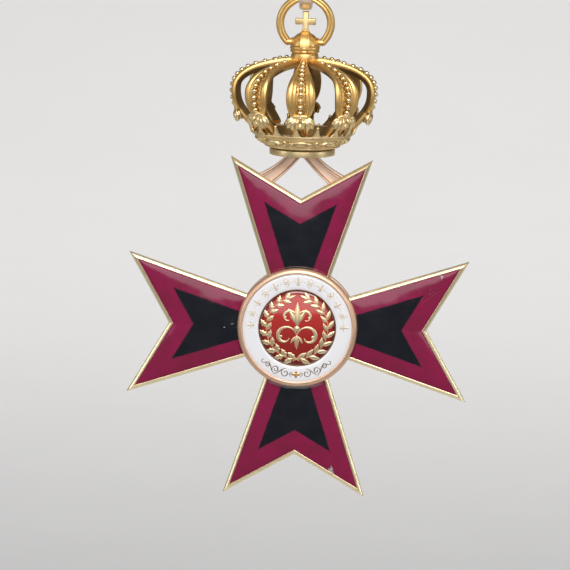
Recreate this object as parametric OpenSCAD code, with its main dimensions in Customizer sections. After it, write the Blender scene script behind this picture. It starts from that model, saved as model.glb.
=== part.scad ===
// Grand cross badge: an enamelled eight-pointed cross under an openwork crown, hung from a ring and a loop.
// It hangs upright in the XZ plane with its front towards -Y. The origin is the top of the inside of
// the loop, where it bears on what it hangs from.

/* [Cross] */
// Width of the cross from tip to tip
cross_w = 72; // [66:1:78]
// Width of one arm across its two tips
arm_w = 30; // [28:0.5:31]
// Depth of the notch between the two tips of an arm
notch_d = 8.7; // [7:0.1:9.5]
// Width that the sides of an arm would have at the centre of the cross
neck_w = 6.3; // [5:0.1:7]
// Thickness of the cross
cross_t = 2; // [1.6:0.1:2.6]
// Width of the gold rim round an arm
rim_w = 0.9; // [0.6:0.05:1.2]

/* [Enamel] */
// Distance of the black field from the sides of an arm
black_side = 4; // [3:0.1:4.5]
// Distance of the black field from the notch
black_end = 4.5; // [3.5:0.1:5]
// Thickness of the metal between the front enamel and the back enamel
core_t = 0.7; // [0.5:0.1:0.9]

/* [Medallion] */
// Diameter of the medallion
medal_d = 25.4; // [24:0.2:27]
// Width of its gold rim
medal_rim = 1.13; // [0.9:0.01:1.4]
// Height of its rim over the face of the cross
medal_h = 1.6; // [1.3:0.1:2]
// Diameter of the red disc
disc_d = 15.9; // [15:0.1:16.5]
// Rise of the red disc from its edge to its middle
disc_rise = 0.9; // [0.6:0.1:1.2]

/* [Crown] */
// Number of arches, with a leaf at the foot of each
arches = 8; // [6:1:8]
// Diameter of the base ring
base_d = 13.9; // [13:0.1:15]
// Largest diameter over the arches, without their pearls
crown_d = 30.4; // [29:0.1:32]
// Height of the arches over the base ring
crown_h = 20.9; // [19:0.1:22]
// Width of an arch where it is widest
arch_w = 6.2; // [5:0.1:6.4]
// Degrees by which the diagonal arches stand nearer to the front and the back
arch_drift = 4; // [0:0.5:5]
// Pearls on one arch
pearls = 12; // [9:1:13]
// Diameter of a pearl
pearl_d = 1.1; // [0.8:0.05:1.2]

/* [Orb, ring and loop] */
// Diameter of the orb
orb_d = 6.1; // [5.6:0.1:6.6]
// Height of the little cross on the orb
finial_h = 4.1; // [3.6:0.05:4.2]
// Outer diameter of the suspension ring
ring_d = 12.4; // [12:0.1:13]
// Thickness of its wire
wire_d = 1.44; // [1.2:0.02:1.6]
// Height of the inside of the loop
loop_h = 11; // [9:0.5:14]
// Width of the inside of the loop, front to back
loop_w = 6; // [5:0.5:8]

/* [Hidden] */
// The arms in the order of their turns about the cross's centre, 90 degrees apart
ARM_NAMES = ["top", "left", "bottom", "right"];

gold = [0.80, 0.62, 0.28];
pale_gold = [0.87, 0.78, 0.52];
rose_gold = [0.80, 0.60, 0.45];
crimson = [0.56, 0.11, 0.29];
black = [0.13, 0.14, 0.17];
white = [0.92, 0.92, 0.94];
red = [0.68, 0.12, 0.11];

// Clearance between two pieces that bear on each other, and between the pin and its bore
gap = 0.03;
pin_gap = 0.05;
$fn = 32;

// Heights over the centre of the cross
base_z = cross_w / 2 + 0.9;
orb_z = base_z + crown_h + 2;
pin_z = orb_z + 0.9;
finial_foot = orb_z + orb_d / 2 + 0.3 + gap;
finial_top = finial_foot + finial_h;

// The ring's wire bends down from its circle into a straight pin, just outside the orb
wire_r = wire_d / 2;
ring_r = ring_d / 2 - wire_r;
pin_half = orb_d / 2 + wire_r;
pin_r = wire_r - 0.02;
ring_z = pin_z + sqrt(ring_r * ring_r - pin_half * pin_half);

// The loop holds the top of the ring, whose curve needs a little more clearance
loop_wire = 1.8;
loop_band = 2.8;
loop_gap = 0.12;
loop_in_z = ring_z + ring_r - wire_r - loop_gap;
mount_z = loop_in_z + loop_h;

// Outline of an arm that points up, from the notch anticlockwise, reaching to y = inner
function arm_side(y) = neck_w / 2 + (arm_w - neck_w) / cross_w * y;
function arm_outline(inner) = [
    [0, cross_w / 2 - notch_d],
    [-arm_w / 2, cross_w / 2],
    [-arm_side(inner), inner],
    [arm_side(inner), inner],
    [arm_w / 2, cross_w / 2]
];

// An anticlockwise outline with each edge moved inwards by its own distance
function inner_normal(a, b) = [a[1] - b[1], b[0] - a[0]] / norm(b - a);
function corner(p, m, n, d, e) =
    let (k = m * n) p + (d * (m - k * n) + e * (n - k * m)) / (1 - k * k);
function inset(pts, d) = let (n = len(pts)) [
    for (i = [0:n - 1]) corner(
        pts[i],
        inner_normal(pts[(i + n - 1) % n], pts[i]),
        inner_normal(pts[i], pts[(i + 1) % n]),
        d[(i + n - 1) % n],
        d[i]
    )
];
function rim_inset(d) = [d, d, 0, d, d];
function black_inset(d) = [black_end + d, black_side + d, 0, black_side + d, black_end + d];

// Points on a cubic curve through a and d with handles b and c
function bezier(a, b, c, d, t) =
    pow(1 - t, 3) * a + 3 * t * pow(1 - t, 2) * b + 3 * t * t * (1 - t) * c + pow(t, 3) * d;

// A solid through closed rings of points. Each runs anticlockwise seen from the last ring, and its first
// point sees all the others, so that the ends can be closed with fans of triangles.
module skin(rings) {
    m = len(rings[0]);
    last = len(rings) - 1;
    bottom = [[for (i = [0:m - 1]) i]];
    top = [[for (i = [0:m - 1]) last * m + (m - i) % m]];
    sides = [
        for (k = [0:last - 1], i = [0:m - 1], half = [0, 1])
            let (a = k * m + i, b = k * m + (i + 1) % m)
            half == 0 ? [a, a + m, b + m] : [a, b + m, b]
    ];
    polyhedron(points = [for (r = rings) each r], faces = concat(bottom, top, sides), convexity = 6);
}

// Drawn flat with its front up, a piece of the cross is stood upright here
module upright() {
    translate([0, 0, -mount_z]) rotate([90, 0, 0]) children();
}

// Pieces of the crown are drawn over z = 0, the foot of the base ring
module on_base() {
    translate([0, 0, base_z - mount_z]) children();
}

// Gold frame of the cross: four arms with bevelled rims, cells for the enamel on both faces, and the hub
bevel = 0.3;
hub_r = medal_d / 2 - 0.1;
module arm_blank() {
    outline = arm_outline(4);
    half = cross_t / 2;
    steps = [[-half, bevel], [bevel - half, 0], [half - bevel, 0], [half, bevel]];
    skin([for (s = steps) [for (p = inset(outline, rim_inset(s[1]))) [p[0], p[1], s[0]]]]);
}
module cell_shape(grow) {
    difference() {
        polygon(inset(arm_outline(6), rim_inset(rim_w - grow)));
        circle(hub_r - grow);
    }
}
module cross_frame() {
    color(pale_gold) upright() difference() {
        union() {
            for (i = [0:3]) rotate(90 * i) arm_blank();
            cylinder(r = hub_r, h = cross_t, center = true);
        }
        for (i = [0:3], side = [0, 1]) rotate(90 * i) mirror([0, 0, side])
            translate([0, 0, core_t / 2]) linear_extrude(cross_t) cell_shape(0);
        cylinder(r = post_r + pin_gap, h = 2 * cross_t, center = true);
    }
}

// Enamel in a cell: a crimson border round a black field
enamel_drop = 0.05;
module enamel(i, side) {
    upright() mirror([0, 0, side]) rotate((side == 0 ? 90 : -90) * i)
        translate([0, 0, core_t / 2 + gap])
        linear_extrude((cross_t - core_t) / 2 - enamel_drop - gap) children();
}
module crimson_field(i, side) {
    color(crimson) enamel(i, side) difference() {
        cell_shape(-gap);
        polygon(inset(arm_outline(6), black_inset(-gap)));
    }
}
module black_field(i, side) {
    color(black) enamel(i, side) difference() {
        polygon(inset(arm_outline(6), black_inset(0)));
        circle(hub_r + gap);
    }
}

// Medallion: two cups on the faces of the hub, held together by a post, with enamel in them
post_r = 1;
cup_floor = 0.45;
face_z = cross_t / 2 + gap;
cup_z = face_z + cup_floor + gap;
rim_z = cross_t / 2 + medal_h;
band_z = rim_z - 0.25;
rim_in = medal_d / 2 - medal_rim;
fillet_w = 0.25;
module medallion_post() {
    color(gold) upright() cylinder(r = post_r, h = 2 * (face_z + cup_floor), center = true);
}
module bezel() {
    r = medal_d / 2;
    rotate_extrude() polygon([
        [post_r + pin_gap, face_z], [r - 0.3, face_z], [r, face_z + 0.3],
        [r, rim_z - 0.3], [r - 0.12, rim_z - 0.1], [r - 0.35, rim_z],
        [rim_in + 0.3, rim_z], [rim_in + 0.08, rim_z - 0.08], [rim_in, rim_z - 0.2],
        [rim_in, face_z + cup_floor], [post_r + pin_gap, face_z + cup_floor]
    ]);
}
module front_bezel() {
    color(rose_gold) upright() bezel();
}
module back_bezel() {
    color(rose_gold) upright() mirror([0, 0, 1]) bezel();
}
module white_band() {
    inner = disc_d / 2 + fillet_w + 2 * gap;
    outer = rim_in - gap;
    color(white) upright() rotate_extrude() polygon([
        [inner, cup_z], [outer, cup_z], [outer, band_z - 0.12], [outer - 0.8, band_z],
        [inner + 0.8, band_z], [inner, band_z - 0.06]
    ]);
}
module disc_fillet() {
    color(gold) upright() rotate_extrude() polygon([
        [disc_d / 2 + gap, cup_z], [disc_d / 2 + gap + fillet_w, cup_z],
        [disc_d / 2 + gap + fillet_w, band_z], [disc_d / 2 + gap, band_z]
    ]);
}

// The red disc is a low dome, and the gold wreath and fleuron lie on it
disc_edge = band_z - 0.1;
dome_r = (pow(disc_d / 2, 2) + pow(disc_rise, 2)) / (2 * disc_rise);
dome_z = disc_edge + disc_rise - dome_r;
module red_disc() {
    color(red) upright() intersection() {
        translate([0, 0, cup_z]) cylinder(r = disc_d / 2, h = 2 * cross_t);
        translate([0, 0, dome_z]) sphere(dome_r, $fn = 256);
    }
}
gilding = 0.14;
module on_dome() {
    upright() intersection() {
        translate([0, 0, disc_edge - 0.5]) linear_extrude(2 * disc_rise + 1) children();
        translate([0, 0, dome_z]) difference() {
            sphere(dome_r + gap + gilding, $fn = 256);
            sphere(dome_r + gap, $fn = 256);
        }
    }
}

// Wreath: a laurel branch on the right and an oak branch on the left, crossed below and open above
wreath_r = 6.55;
module leaf_blade(length, width) {
    bow = (length * length + width * width) / (4 * width);
    intersection() {
        translate([0, bow - width / 2]) circle(bow, $fn = 30);
        translate([0, width / 2 - bow]) circle(bow, $fn = 30);
    }
}
module branch(width, tilt) {
    first = 248;
    last = 438;
    count = 10;
    rotate(first) stem_arc(last - first);
    for (k = [0:count - 1], side = [-1, 1]) rotate(first + 14 + (last - first - 14) * k / count)
        translate([wreath_r, 0]) rotate(90 - tilt * side) translate([0.85, 0]) leaf_blade(1.9, width);
    rotate(last) translate([wreath_r, 0]) rotate(90) translate([0.6, 0]) leaf_blade(1.5, width);
}
module stem_arc(turn) {
    steps = 18;
    polygon(concat(
        [for (k = [0:steps]) (wreath_r - 0.11) * [cos(turn * k / steps), sin(turn * k / steps)]],
        [for (k = [steps:-1:0]) (wreath_r + 0.11) * [cos(turn * k / steps), sin(turn * k / steps)]]
    ));
}
module wreath() {
    color(gold) on_dome() offset(delta = 0.001) {
        branch(0.62, 32);
        mirror([1, 0]) branch(0.85, 26);
    }
}

// Fleuron: a palmette between two scrolls, drawn with strokes that are widest in the middle
function spiral(turn, r0, r1, t) = (r0 + (r1 - r0) * t) * [cos(turn * t), sin(turn * t)];
module stroke(turn, r0, r1, thin, thick) {
    steps = 24;
    width = [for (k = [0:steps]) thin + (thick - thin) * pow(sin(180 * k / steps), 2)];
    line = [for (k = [0:steps]) spiral(turn, r0, r1, k / steps)];
    polygon(concat(
        [for (k = [0:steps]) line[k] * (1 + width[k] / 2 / norm(line[k]))],
        [for (k = [steps:-1:0]) line[k] * (1 - width[k] / 2 / norm(line[k]))]
    ));
}
module half_fleuron() {
    translate([2.1, -1.5]) rotate(-185) stroke(-330, 2.1, 0.75, 0.2, 0.75);
    translate([1.55, 2.1]) rotate(200) stroke(-300, 1.55, 0.55, 0.18, 0.6);
    translate([0, 0.6]) rotate(58) translate([2.1, 0]) leaf_blade(2.9, 0.8);
}
module fleuron() {
    color(gold) on_dome() offset(delta = 0.001) {
        half_fleuron();
        mirror([1, 0]) half_fleuron();
        translate([0, 2.6]) rotate(90) leaf_blade(4.6, 1.2);
        translate([0, -2.6]) rotate(90) leaf_blade(2.6, 0.9);
        circle(0.55, $fn = 16);
    }
}
module back_disc() {
    color(white) upright() mirror([0, 0, 1]) rotate_extrude() polygon([
        [0, cup_z], [rim_in - gap, cup_z], [rim_in - gap, band_z - 0.1], [rim_in - 2, band_z + 0.1],
        [rim_in - 5, band_z + 0.3], [0, band_z + 0.4]
    ]);
}

// Scroll bracket: two channelled bands that spread from the crown's foot to the notch of the top arm
band_w = 2.5;
band_flare = 0.5;
band_t = 1.7;
band_edge = 0.5;
stud_r = 1.2;
stud_root = 0.4;
floor_t = 0.9;
function band_line(t) = bezier([-0.5, 1], [-2.6, -1.6], [-4.4, -3.6], [-8.8, -6.4], t);
function band_side(offset) = [
    for (k = [-1:11]) let (
        t = k / 10,
        p = band_line(t),
        d = band_line(t + 0.01) - band_line(t - 0.01)
    ) p + offset * (1 + band_flare * pow(max(0, t), 3)) * [-d[1], d[0]] / norm(d)
];
function reversed(v) = [for (i = [len(v) - 1:-1:0]) v[i]];
module band_strip(from, to, thickness) {
    linear_extrude(thickness, center = true) polygon(concat(band_side(from), reversed(band_side(to))));
}
module scroll_bracket() {
    lowest = cross_w / 2 - notch_d;
    color(rose_gold) upright() {
        difference() {
            translate([0, base_z]) for (side = [0, 1]) mirror([side, 0]) {
                band_strip(-band_w / 2, band_edge - band_w / 2, band_t);
                band_strip(band_w / 2 - band_edge, band_w / 2, band_t);
                band_strip(-band_w / 2 + 0.1, band_w / 2 - 0.1, band_t - 0.7);
            }
            // What lies beyond the notch's edges, and above the crown's foot, is cut off
            for (side = [0, 1]) mirror([side, 0]) linear_extrude(2 * band_t, center = true) polygon([
                [-0.01, lowest + gap], [arm_w / 2, cross_w / 2 + gap], [arm_w / 2, 0], [-0.01, 0]
            ]);
            translate([-arm_w / 2, base_z - gap, -band_t]) cube([arm_w, 10, 2 * band_t]);
        }
        translate([0, base_z - stud_root]) rotate([-90, 0, 0]) cylinder(r = stud_r, h = stud_root + floor_t);
    }
}

// Crown circlet: base ring, groove and flared wall whose scalloped edge leaves a row of beaded points
base_r = base_d / 2;
base_h = 1.5;
ledge_z = 5;
ledge_in = 8.6;
ledge_out = 11;
point_z = 6.15;
point_r = 12;
points = 2 * arches;
point_turn = -4.5;
bead_r = 0.42;
module circlet_wall() {
    rotate_extrude($fn = 64) polygon([
        [stud_r + pin_gap, 0], [base_r - 0.2, 0], [base_r, 0.2], [base_r, base_h - 0.25],
        [base_r - 0.3, base_h], [base_r - 0.35, base_h + 0.2], [base_r + 0.9, base_h + 0.25],
        [base_r + 1.2, base_h + 0.7], [ledge_out - 0.5, ledge_z - 0.9], [ledge_out + 0.05, ledge_z - 0.55],
        [ledge_out, ledge_z - 0.05], [ledge_out - 0.15, ledge_z], [ledge_in, ledge_z],
        [base_r - 1.6, floor_t], [stud_r + pin_gap, floor_t]
    ]);
}
// A point of the edge: a plate with hollowed sides that leans outwards, with a bead on its tip
point_t = 0.45;
module edge_point() {
    half = PI * ledge_out / points - 0.15;
    length = norm([point_r - ledge_out, point_z - ledge_z]);
    lean = atan2(point_r - ledge_out, point_z - ledge_z);
    translate([ledge_out - point_t / 2, 0, ledge_z - 0.05]) rotate([0, lean, 0]) {
        rotate([90, 0, 90]) linear_extrude(point_t, center = true) polygon([
            [-half, -0.4], [half, -0.4], [half, 0], [0.55 * half, 0.3 * length],
            [0.25 * half, 0.65 * length], [0.12 * half, length], [-0.12 * half, length],
            [-0.25 * half, 0.65 * length], [-0.55 * half, 0.3 * length], [-half, 0]
        ]);
        translate([0, 0, length]) sphere(bead_r);
    }
}
// A jewel in a frame on the flared wall, drawn on the plane of the wall
wall_tilt = atan2(ledge_out - base_r - 1.7, ledge_z - base_h - 1.6);
module on_wall(turn) {
    rotate(turn) translate([(base_r + ledge_out + 0.7) / 2, 0, (base_h + ledge_z - 0.2) / 2])
        rotate([0, 90 + wall_tilt, 0]) rotate(90) children();
}
module cartouche(length, height, rise) {
    linear_extrude(rise) polygon([
        for (k = [0:11]) [length / 2 * cos(30 * k), height / 2 * sin(30 * k)]
    ]);
}
// Where arch i stands, from the front round to the right
function arch_angle(i) = let (even = 360 * (i - 1) / arches) even - arch_drift * sin(2 * even) - 90;
module crown_circlet() {
    color(gold) on_base() {
        circlet_wall();
        for (i = [0:points - 1]) rotate(360 * i / points + point_turn) edge_point();
        for (i = [1:arches]) {
            on_wall(arch_angle(i)) translate([0, 0, -0.5]) cartouche(4.4, 1.9, 0.85);
            on_wall((arch_angle(i) + arch_angle(i + 1)) / 2) translate([0, 0, -0.5]) cartouche(1.3, 1.9, 0.85);
        }
    }
}

// Arches: each a channelled strap that swells at the shoulder, with a row of pearls in its channel
arch_foot = ledge_z + gap;
arch_t = 1.9;
shoulder_z = 13.7;
function arch_line(t) = t < 1
    ? bezier([10.4, arch_foot], [11.3, 7.2], [crown_d / 2, 9.6], [crown_d / 2, shoulder_z], t)
    : bezier([crown_d / 2, shoulder_z], [crown_d / 2, 17.6], [11.5, 20], [2.75, crown_h], t - 1);
function arch_out(t) =
    let (d = arch_line(min(t + 0.01, 2)) - arch_line(max(t - 0.01, 0))) [d[1], -d[0]] / norm(d);
// Width along the arch: it swells from its foot to the shoulder and narrows to the top
arch_foot_w = 3.6;
arch_top_w = 1.6;
function arch_width(t) = t < 1
    ? max(arch_foot_w, arch_w - 7.6 * pow(1 - t, 1.2))
    : arch_top_w + (arch_w - arch_top_w) * pow(max(0, cos(98 * (t - 1))), 1.3);
// Section: half-width as a share, and depth below the outer face
arch_section = [
    [0, -arch_t], [-0.6, -arch_t], [-1, -0.9], [-1, -0.4], [-0.85, -0.08], [-0.64, 0], [-0.5, -0.14],
    [-0.34, -0.45], [0.34, -0.45], [0.5, -0.14], [0.64, 0], [0.85, -0.08], [1, -0.4], [1, -0.9],
    [0.6, -arch_t]
];
arch_steps = 14;
function arch_ring(t, grow) = let (
    p = arch_line(t),
    // The foot stands flat on the circlet, and the rest is square to the curve
    n = t == 0 ? [1, 0] : t == 2 ? [0, 1] : arch_out(t),
    h = arch_width(t) / 2 + grow
) [
    for (s = arch_section) let (v = s[1] + (s[1] > -0.5 ? grow : -grow))
        [p[0] + n[0] * v, h * s[0], p[1] + n[1] * v]
];
module arch_strap(grow) {
    skin([for (k = [0:arch_steps]) arch_ring(2 * k / arch_steps, grow)]);
}
first_pearl = 0.62;
last_pearl = 1.86;
pearl_side = 10;
module pearl(t, grow = 0) {
    p = arch_line(t);
    n = arch_out(t);
    r = pearl_d / 2 + grow;
    hull() translate([p[0], 0, p[1]]) rotate([0, atan2(n[0], n[1]), 0]) rotate_extrude($fn = pearl_side)
        polygon([[0, -0.75], [0.9 * r, -0.75], [r, -0.05], [0.74 * r, 0.66 * r], [0, r]]);
}
module arch(i) {
    color(gold) on_base() rotate(arch_angle(i)) {
        arch_strap(0);
        for (k = [0:pearls - 1]) pearl(first_pearl + (last_pearl - first_pearl) * k / (pearls - 1));
    }
}

// Leaves: a roll across the foot of an arch, from which three lobes and two small ones hang outwards
module lobe(a, b, r, s) {
    hull() {
        translate(a) sphere(r, $fn = 6);
        translate(b) sphere(s, $fn = 6);
    }
}
module half_leaf() {
    lobe([13.7, 1.5, 8.8], [13.75, 2.35, 7.7], 0.6, 0.65);
    lobe([13.75, 2.35, 7.7], [12.9, 2.35, 6.6], 0.65, 0.5);
    lobe([13.8, 0.8, 8.7], [13.35, 1.15, 6.8], 0.6, 0.55);
}
module leaf(i) {
    color(gold) on_base() rotate(arch_angle(i)) difference() {
        union() {
            lobe([13.75, -1.6, 8.9], [13.75, 1.6, 8.9], 0.6, 0.6);
            half_leaf();
            mirror([0, 1, 0]) half_leaf();
            lobe([13.8, 0, 8.7], [14, 0, 7.8], 0.6, 0.65);
            lobe([14, 0, 7.8], [13.1, 0, 6.6], 0.65, 0.45);
        }
        arch_strap(gap);
        pearl(first_pearl, gap);
    }
}

// Orb on a collar between the tops of the arches, with an equator band and a band over its crown
collar_r = 2.6;
module orb() {
    r = orb_d / 2;
    color(gold) on_base() translate([0, 0, orb_z - base_z]) difference() {
        union() {
            rotate_extrude() polygon(concat(
                [[0, -3.7], [collar_r, -3.7], [collar_r, -1.95], [r - 0.05, -1.9], [r + 0.05, -1.5]],
                [[r - 0.15, -1.1], [r + 0.08, -0.8], [r + 0.08, 0.05]],
                [for (a = [5:10:65]) [r * cos(a), r * sin(a)]],
                [[0.75, r * 0.98], [0.7, r + 0.3], [0, r + 0.3]]
            ));
            rotate([0, 90, 0]) cylinder(r = r + 0.2, h = 1.8, center = true);
        }
        translate([0, 0, pin_z - orb_z]) rotate([0, 90, 0])
            cylinder(r = pin_r + pin_gap, h = 3 * r, center = true);
    }
}
module orb_cross() {
    // Half the width of a limb, its reach from the middle, and the height of the middle
    limb = 0.68;
    reach = 2.2;
    middle = finial_top - reach;
    color(pale_gold) upright() linear_extrude(1.1, center = true) polygon([
        [-0.86, finial_foot], [0.86, finial_foot], [limb, middle - limb], [reach, middle - limb],
        [reach, middle + limb], [limb, middle + limb], [limb, finial_top], [-limb, finial_top],
        [-limb, middle + limb], [-reach, middle + limb], [-reach, middle - limb], [-limb, middle - limb]
    ]);
}

// Suspension ring: a wire with a shallow channel on each face, whose ends run as a straight pin through
// the orb, with a ferrule over each bend
function half_section() = [
    for (a = [-75:15:75]) wire_r * [cos(a), sin(a)],
    [0.15, 0.62]
];
module suspension_ring() {
    half_open = asin(pin_half / ring_r);
    upper = half_section();
    section = concat(upper, [for (p = upper) -p]);
    color(gold) upright() {
        translate([0, ring_z]) rotate(half_open - 90) rotate_extrude(angle = 360 - 2 * half_open, $fn = 96)
            translate([ring_r, 0]) polygon(section);
        for (side = [0, 1]) mirror([side, 0, 0]) translate([pin_half, pin_z])
            rotate([0, 90, half_open / 2]) cylinder(r = wire_r + 0.1, h = 1.2, center = true);
        translate([0, pin_z]) rotate([0, 90, 0]) cylinder(r = pin_r, h = 2 * pin_half, center = true);
    }
}

// Hanging loop: a long link of flattened wire that stands square to the ring
function rounded(w, h, r) = [
    for (q = [0:3], k = [0:3]) let (
        a = 90 * q + 30 * k,
        sx = (q == 0 || q == 3) ? 1 : -1,
        sy = q < 2 ? 1 : -1
    ) [sx * (w / 2 - r) + r * cos(a), sy * (h / 2 - r) + r * sin(a)]
];
module hanging_loop() {
    r = loop_w / 2 + loop_wire / 2;
    straight = loop_h - loop_w;
    section = rounded(loop_wire, loop_band, 0.75);
    color(rose_gold) translate([0, 0, loop_in_z + loop_w / 2 - mount_z]) rotate([0, 90, 0]) {
        for (end = [0, 1]) translate([-straight * end, 0]) rotate(180 * end - 90)
            rotate_extrude(angle = 180, $fn = 64) translate([r, 0]) polygon(section);
        for (side = [-1, 1]) translate([0, side * r]) rotate([0, -90, 0])
            linear_extrude(straight) polygon([for (p = section) [p[1], p[0]]]);
    }
}

hanging_loop();
suspension_ring();
orb_cross();
orb();
for (i = [1:arches]) {
    arch(i);
    leaf(i);
}
crown_circlet();
scroll_bracket();
cross_frame();
for (i = [0:3]) {
    crimson_field(i, 0);
    crimson_field(i, 1);
    black_field(i, 0);
    black_field(i, 1);
}
medallion_post();
front_bezel();
white_band();
disc_fillet();
red_disc();
wreath();
fleuron();
back_bezel();
back_disc();
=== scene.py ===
# %% [markdown]
# # A grand cross badge in gilt silver and enamel
#
# The badge is a flat cross with four forked arms, filled with crimson and black enamel inside gold rims. A round
# medallion sits at its centre. Two channelled bands carry the cross under an openwork crown, and an orb, a ring
# and a long loop hang the crown. Every piece here is dressed over a plain CAD model that is already in its place,
# so each step models one piece, gives it a finish, and hands it to the body that it moves with.

# %% Load the plain model
import math

import bmesh
import bpy
from mathutils import Matrix, Vector, noise


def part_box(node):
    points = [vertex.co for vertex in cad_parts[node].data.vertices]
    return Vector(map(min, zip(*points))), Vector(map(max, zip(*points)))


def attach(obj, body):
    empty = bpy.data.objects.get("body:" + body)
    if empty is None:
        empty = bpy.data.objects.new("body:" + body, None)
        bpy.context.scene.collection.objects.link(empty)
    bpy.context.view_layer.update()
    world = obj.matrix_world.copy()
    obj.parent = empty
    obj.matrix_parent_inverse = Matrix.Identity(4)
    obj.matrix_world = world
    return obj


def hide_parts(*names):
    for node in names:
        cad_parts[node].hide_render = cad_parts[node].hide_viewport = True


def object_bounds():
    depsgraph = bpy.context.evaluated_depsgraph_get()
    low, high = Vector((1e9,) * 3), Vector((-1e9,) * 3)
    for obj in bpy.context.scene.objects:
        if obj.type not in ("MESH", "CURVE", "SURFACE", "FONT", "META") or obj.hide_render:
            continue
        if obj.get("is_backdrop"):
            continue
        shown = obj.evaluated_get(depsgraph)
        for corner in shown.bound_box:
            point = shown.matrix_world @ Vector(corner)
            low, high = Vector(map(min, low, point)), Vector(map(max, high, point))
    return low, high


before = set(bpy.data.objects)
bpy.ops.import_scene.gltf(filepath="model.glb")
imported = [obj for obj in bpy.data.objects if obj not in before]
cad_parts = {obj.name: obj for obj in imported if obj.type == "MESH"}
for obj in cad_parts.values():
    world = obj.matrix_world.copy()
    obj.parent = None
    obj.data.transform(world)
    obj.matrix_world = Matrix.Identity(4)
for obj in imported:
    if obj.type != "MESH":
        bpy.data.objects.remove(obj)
cad_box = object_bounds()
print("CAD box in mm:", [[round(1000 * c, 1) for c in corner] for corner in cad_box])

# %% [markdown]
# ## Two drawing boards
#
# A jeweller draws a badge flat on the bench and a crown standing on its base, in millimetres. The same is done here:
# each piece is drawn near the origin, and one matrix stands it in its place in metres. The flat board has its front
# up, so turning it by 90 degrees about X makes the front face the viewer. The places come from the plain model.

# %% Boards for the cross and the crown
MM = 0.001


def middle(node):
    """The middle of a CAD node's box"""
    low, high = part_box(node)
    return (Vector(low) + Vector(high)) / 2


TO_METRES = Matrix.Scale(MM, 4)
cross_centre = middle("cross_frame")
crown_foot = Vector((0, 0, Vector(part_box("crown_circlet")[0]).z))
UPRIGHT = Matrix.Translation(cross_centre) @ Matrix.Rotation(math.radians(90), 4, "X") @ TO_METRES
CROWN = Matrix.Translation(crown_foot) @ TO_METRES
print("Cross centre and crown foot:", cross_centre, crown_foot)

# %% [markdown]
# ## From a bmesh to a piece
#
# A bmesh is a mesh on the workbench. When it is finished it is moved to its place, its sharp corners are marked by
# angle so that the rest can shade smoothly, and it becomes an object that rides on one body of the plain model.
# Each piece could repeat these steps by itself, but one function keeps them the same for all of them.

# %% Hand a finished piece over
made = {}


def hand_over(bench, name, board, finish, body, nodes=(), sharp=40, others=()):
    """Make a bmesh a finished piece that stands for some CAD nodes; marked faces take one of the other finishes"""
    bmesh.ops.transform(bench, matrix=board, verts=bench.verts)
    mesh = bpy.data.meshes.new(name)
    bench.to_mesh(mesh)
    bench.free()
    mesh.materials.append(finish)
    for other in others:
        mesh.materials.append(other)
    mesh.shade_smooth()
    mesh.set_sharp_from_angle(angle=math.radians(sharp))
    piece = bpy.data.objects.new(name, mesh)
    bpy.context.scene.collection.objects.link(piece)
    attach(piece, body)
    if nodes:
        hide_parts(*nodes)
    made[name] = len(mesh.polygons)
    print(f"{name}: {len(mesh.polygons)} faces")


# %% Join two bmeshes, and turn faces outwards
def absorb(bench, extra, place=None):
    """Add the geometry of one bmesh to another"""
    scratch = bpy.data.meshes.new("scratch")
    extra.to_mesh(scratch)
    extra.free()
    if place is not None:
        scratch.transform(place)
    bench.from_mesh(scratch)
    bpy.data.meshes.remove(scratch)


def outwards(bench):
    """Merge doubled points and turn all faces outwards"""
    bmesh.ops.remove_doubles(bench, verts=bench.verts, dist=1e-4)
    bmesh.ops.recalc_face_normals(bench, faces=bench.faces)
    return bench


# %% [markdown]
# ## Shader maths as plain expressions
#
# A material's node tree is a formula. It could be wired by hand, node by node, but a formula is easiest to read as
# one line. `Wire` wraps a socket and turns `+ - * / **` into Math nodes, so that `1 - mask` works. `Recipe` adds
# every other kind of node through one method.

# %% A socket that can stand in a formula
class Wire:
    """The output of a node, which can be used in an expression"""

    def __init__(self, recipe, socket):
        self.recipe, self.socket = recipe, socket

    def maths(self, operation, first, second=None):
        values = {0: first} if second is None else {0: first, 1: second}
        return self.recipe.add("ShaderNodeMath", {"operation": operation}, values)

    def __add__(self, other):
        return self.maths("ADD", self, other)

    def __radd__(self, other):
        return self.maths("ADD", other, self)

    def __sub__(self, other):
        return self.maths("SUBTRACT", self, other)

    def __rsub__(self, other):
        return self.maths("SUBTRACT", other, self)

    def __mul__(self, other):
        return self.maths("MULTIPLY", self, other)

    def __rmul__(self, other):
        return self.maths("MULTIPLY", other, self)

    def __truediv__(self, other):
        return self.maths("DIVIDE", self, other)

    def __pow__(self, other):
        return self.maths("POWER", self, other)

    def __abs__(self):
        return self.maths("ABSOLUTE", self)

    def at_most(self, other):
        return self.maths("MINIMUM", self, other)

    def at_least(self, other):
        return self.maths("MAXIMUM", self, other)


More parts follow.
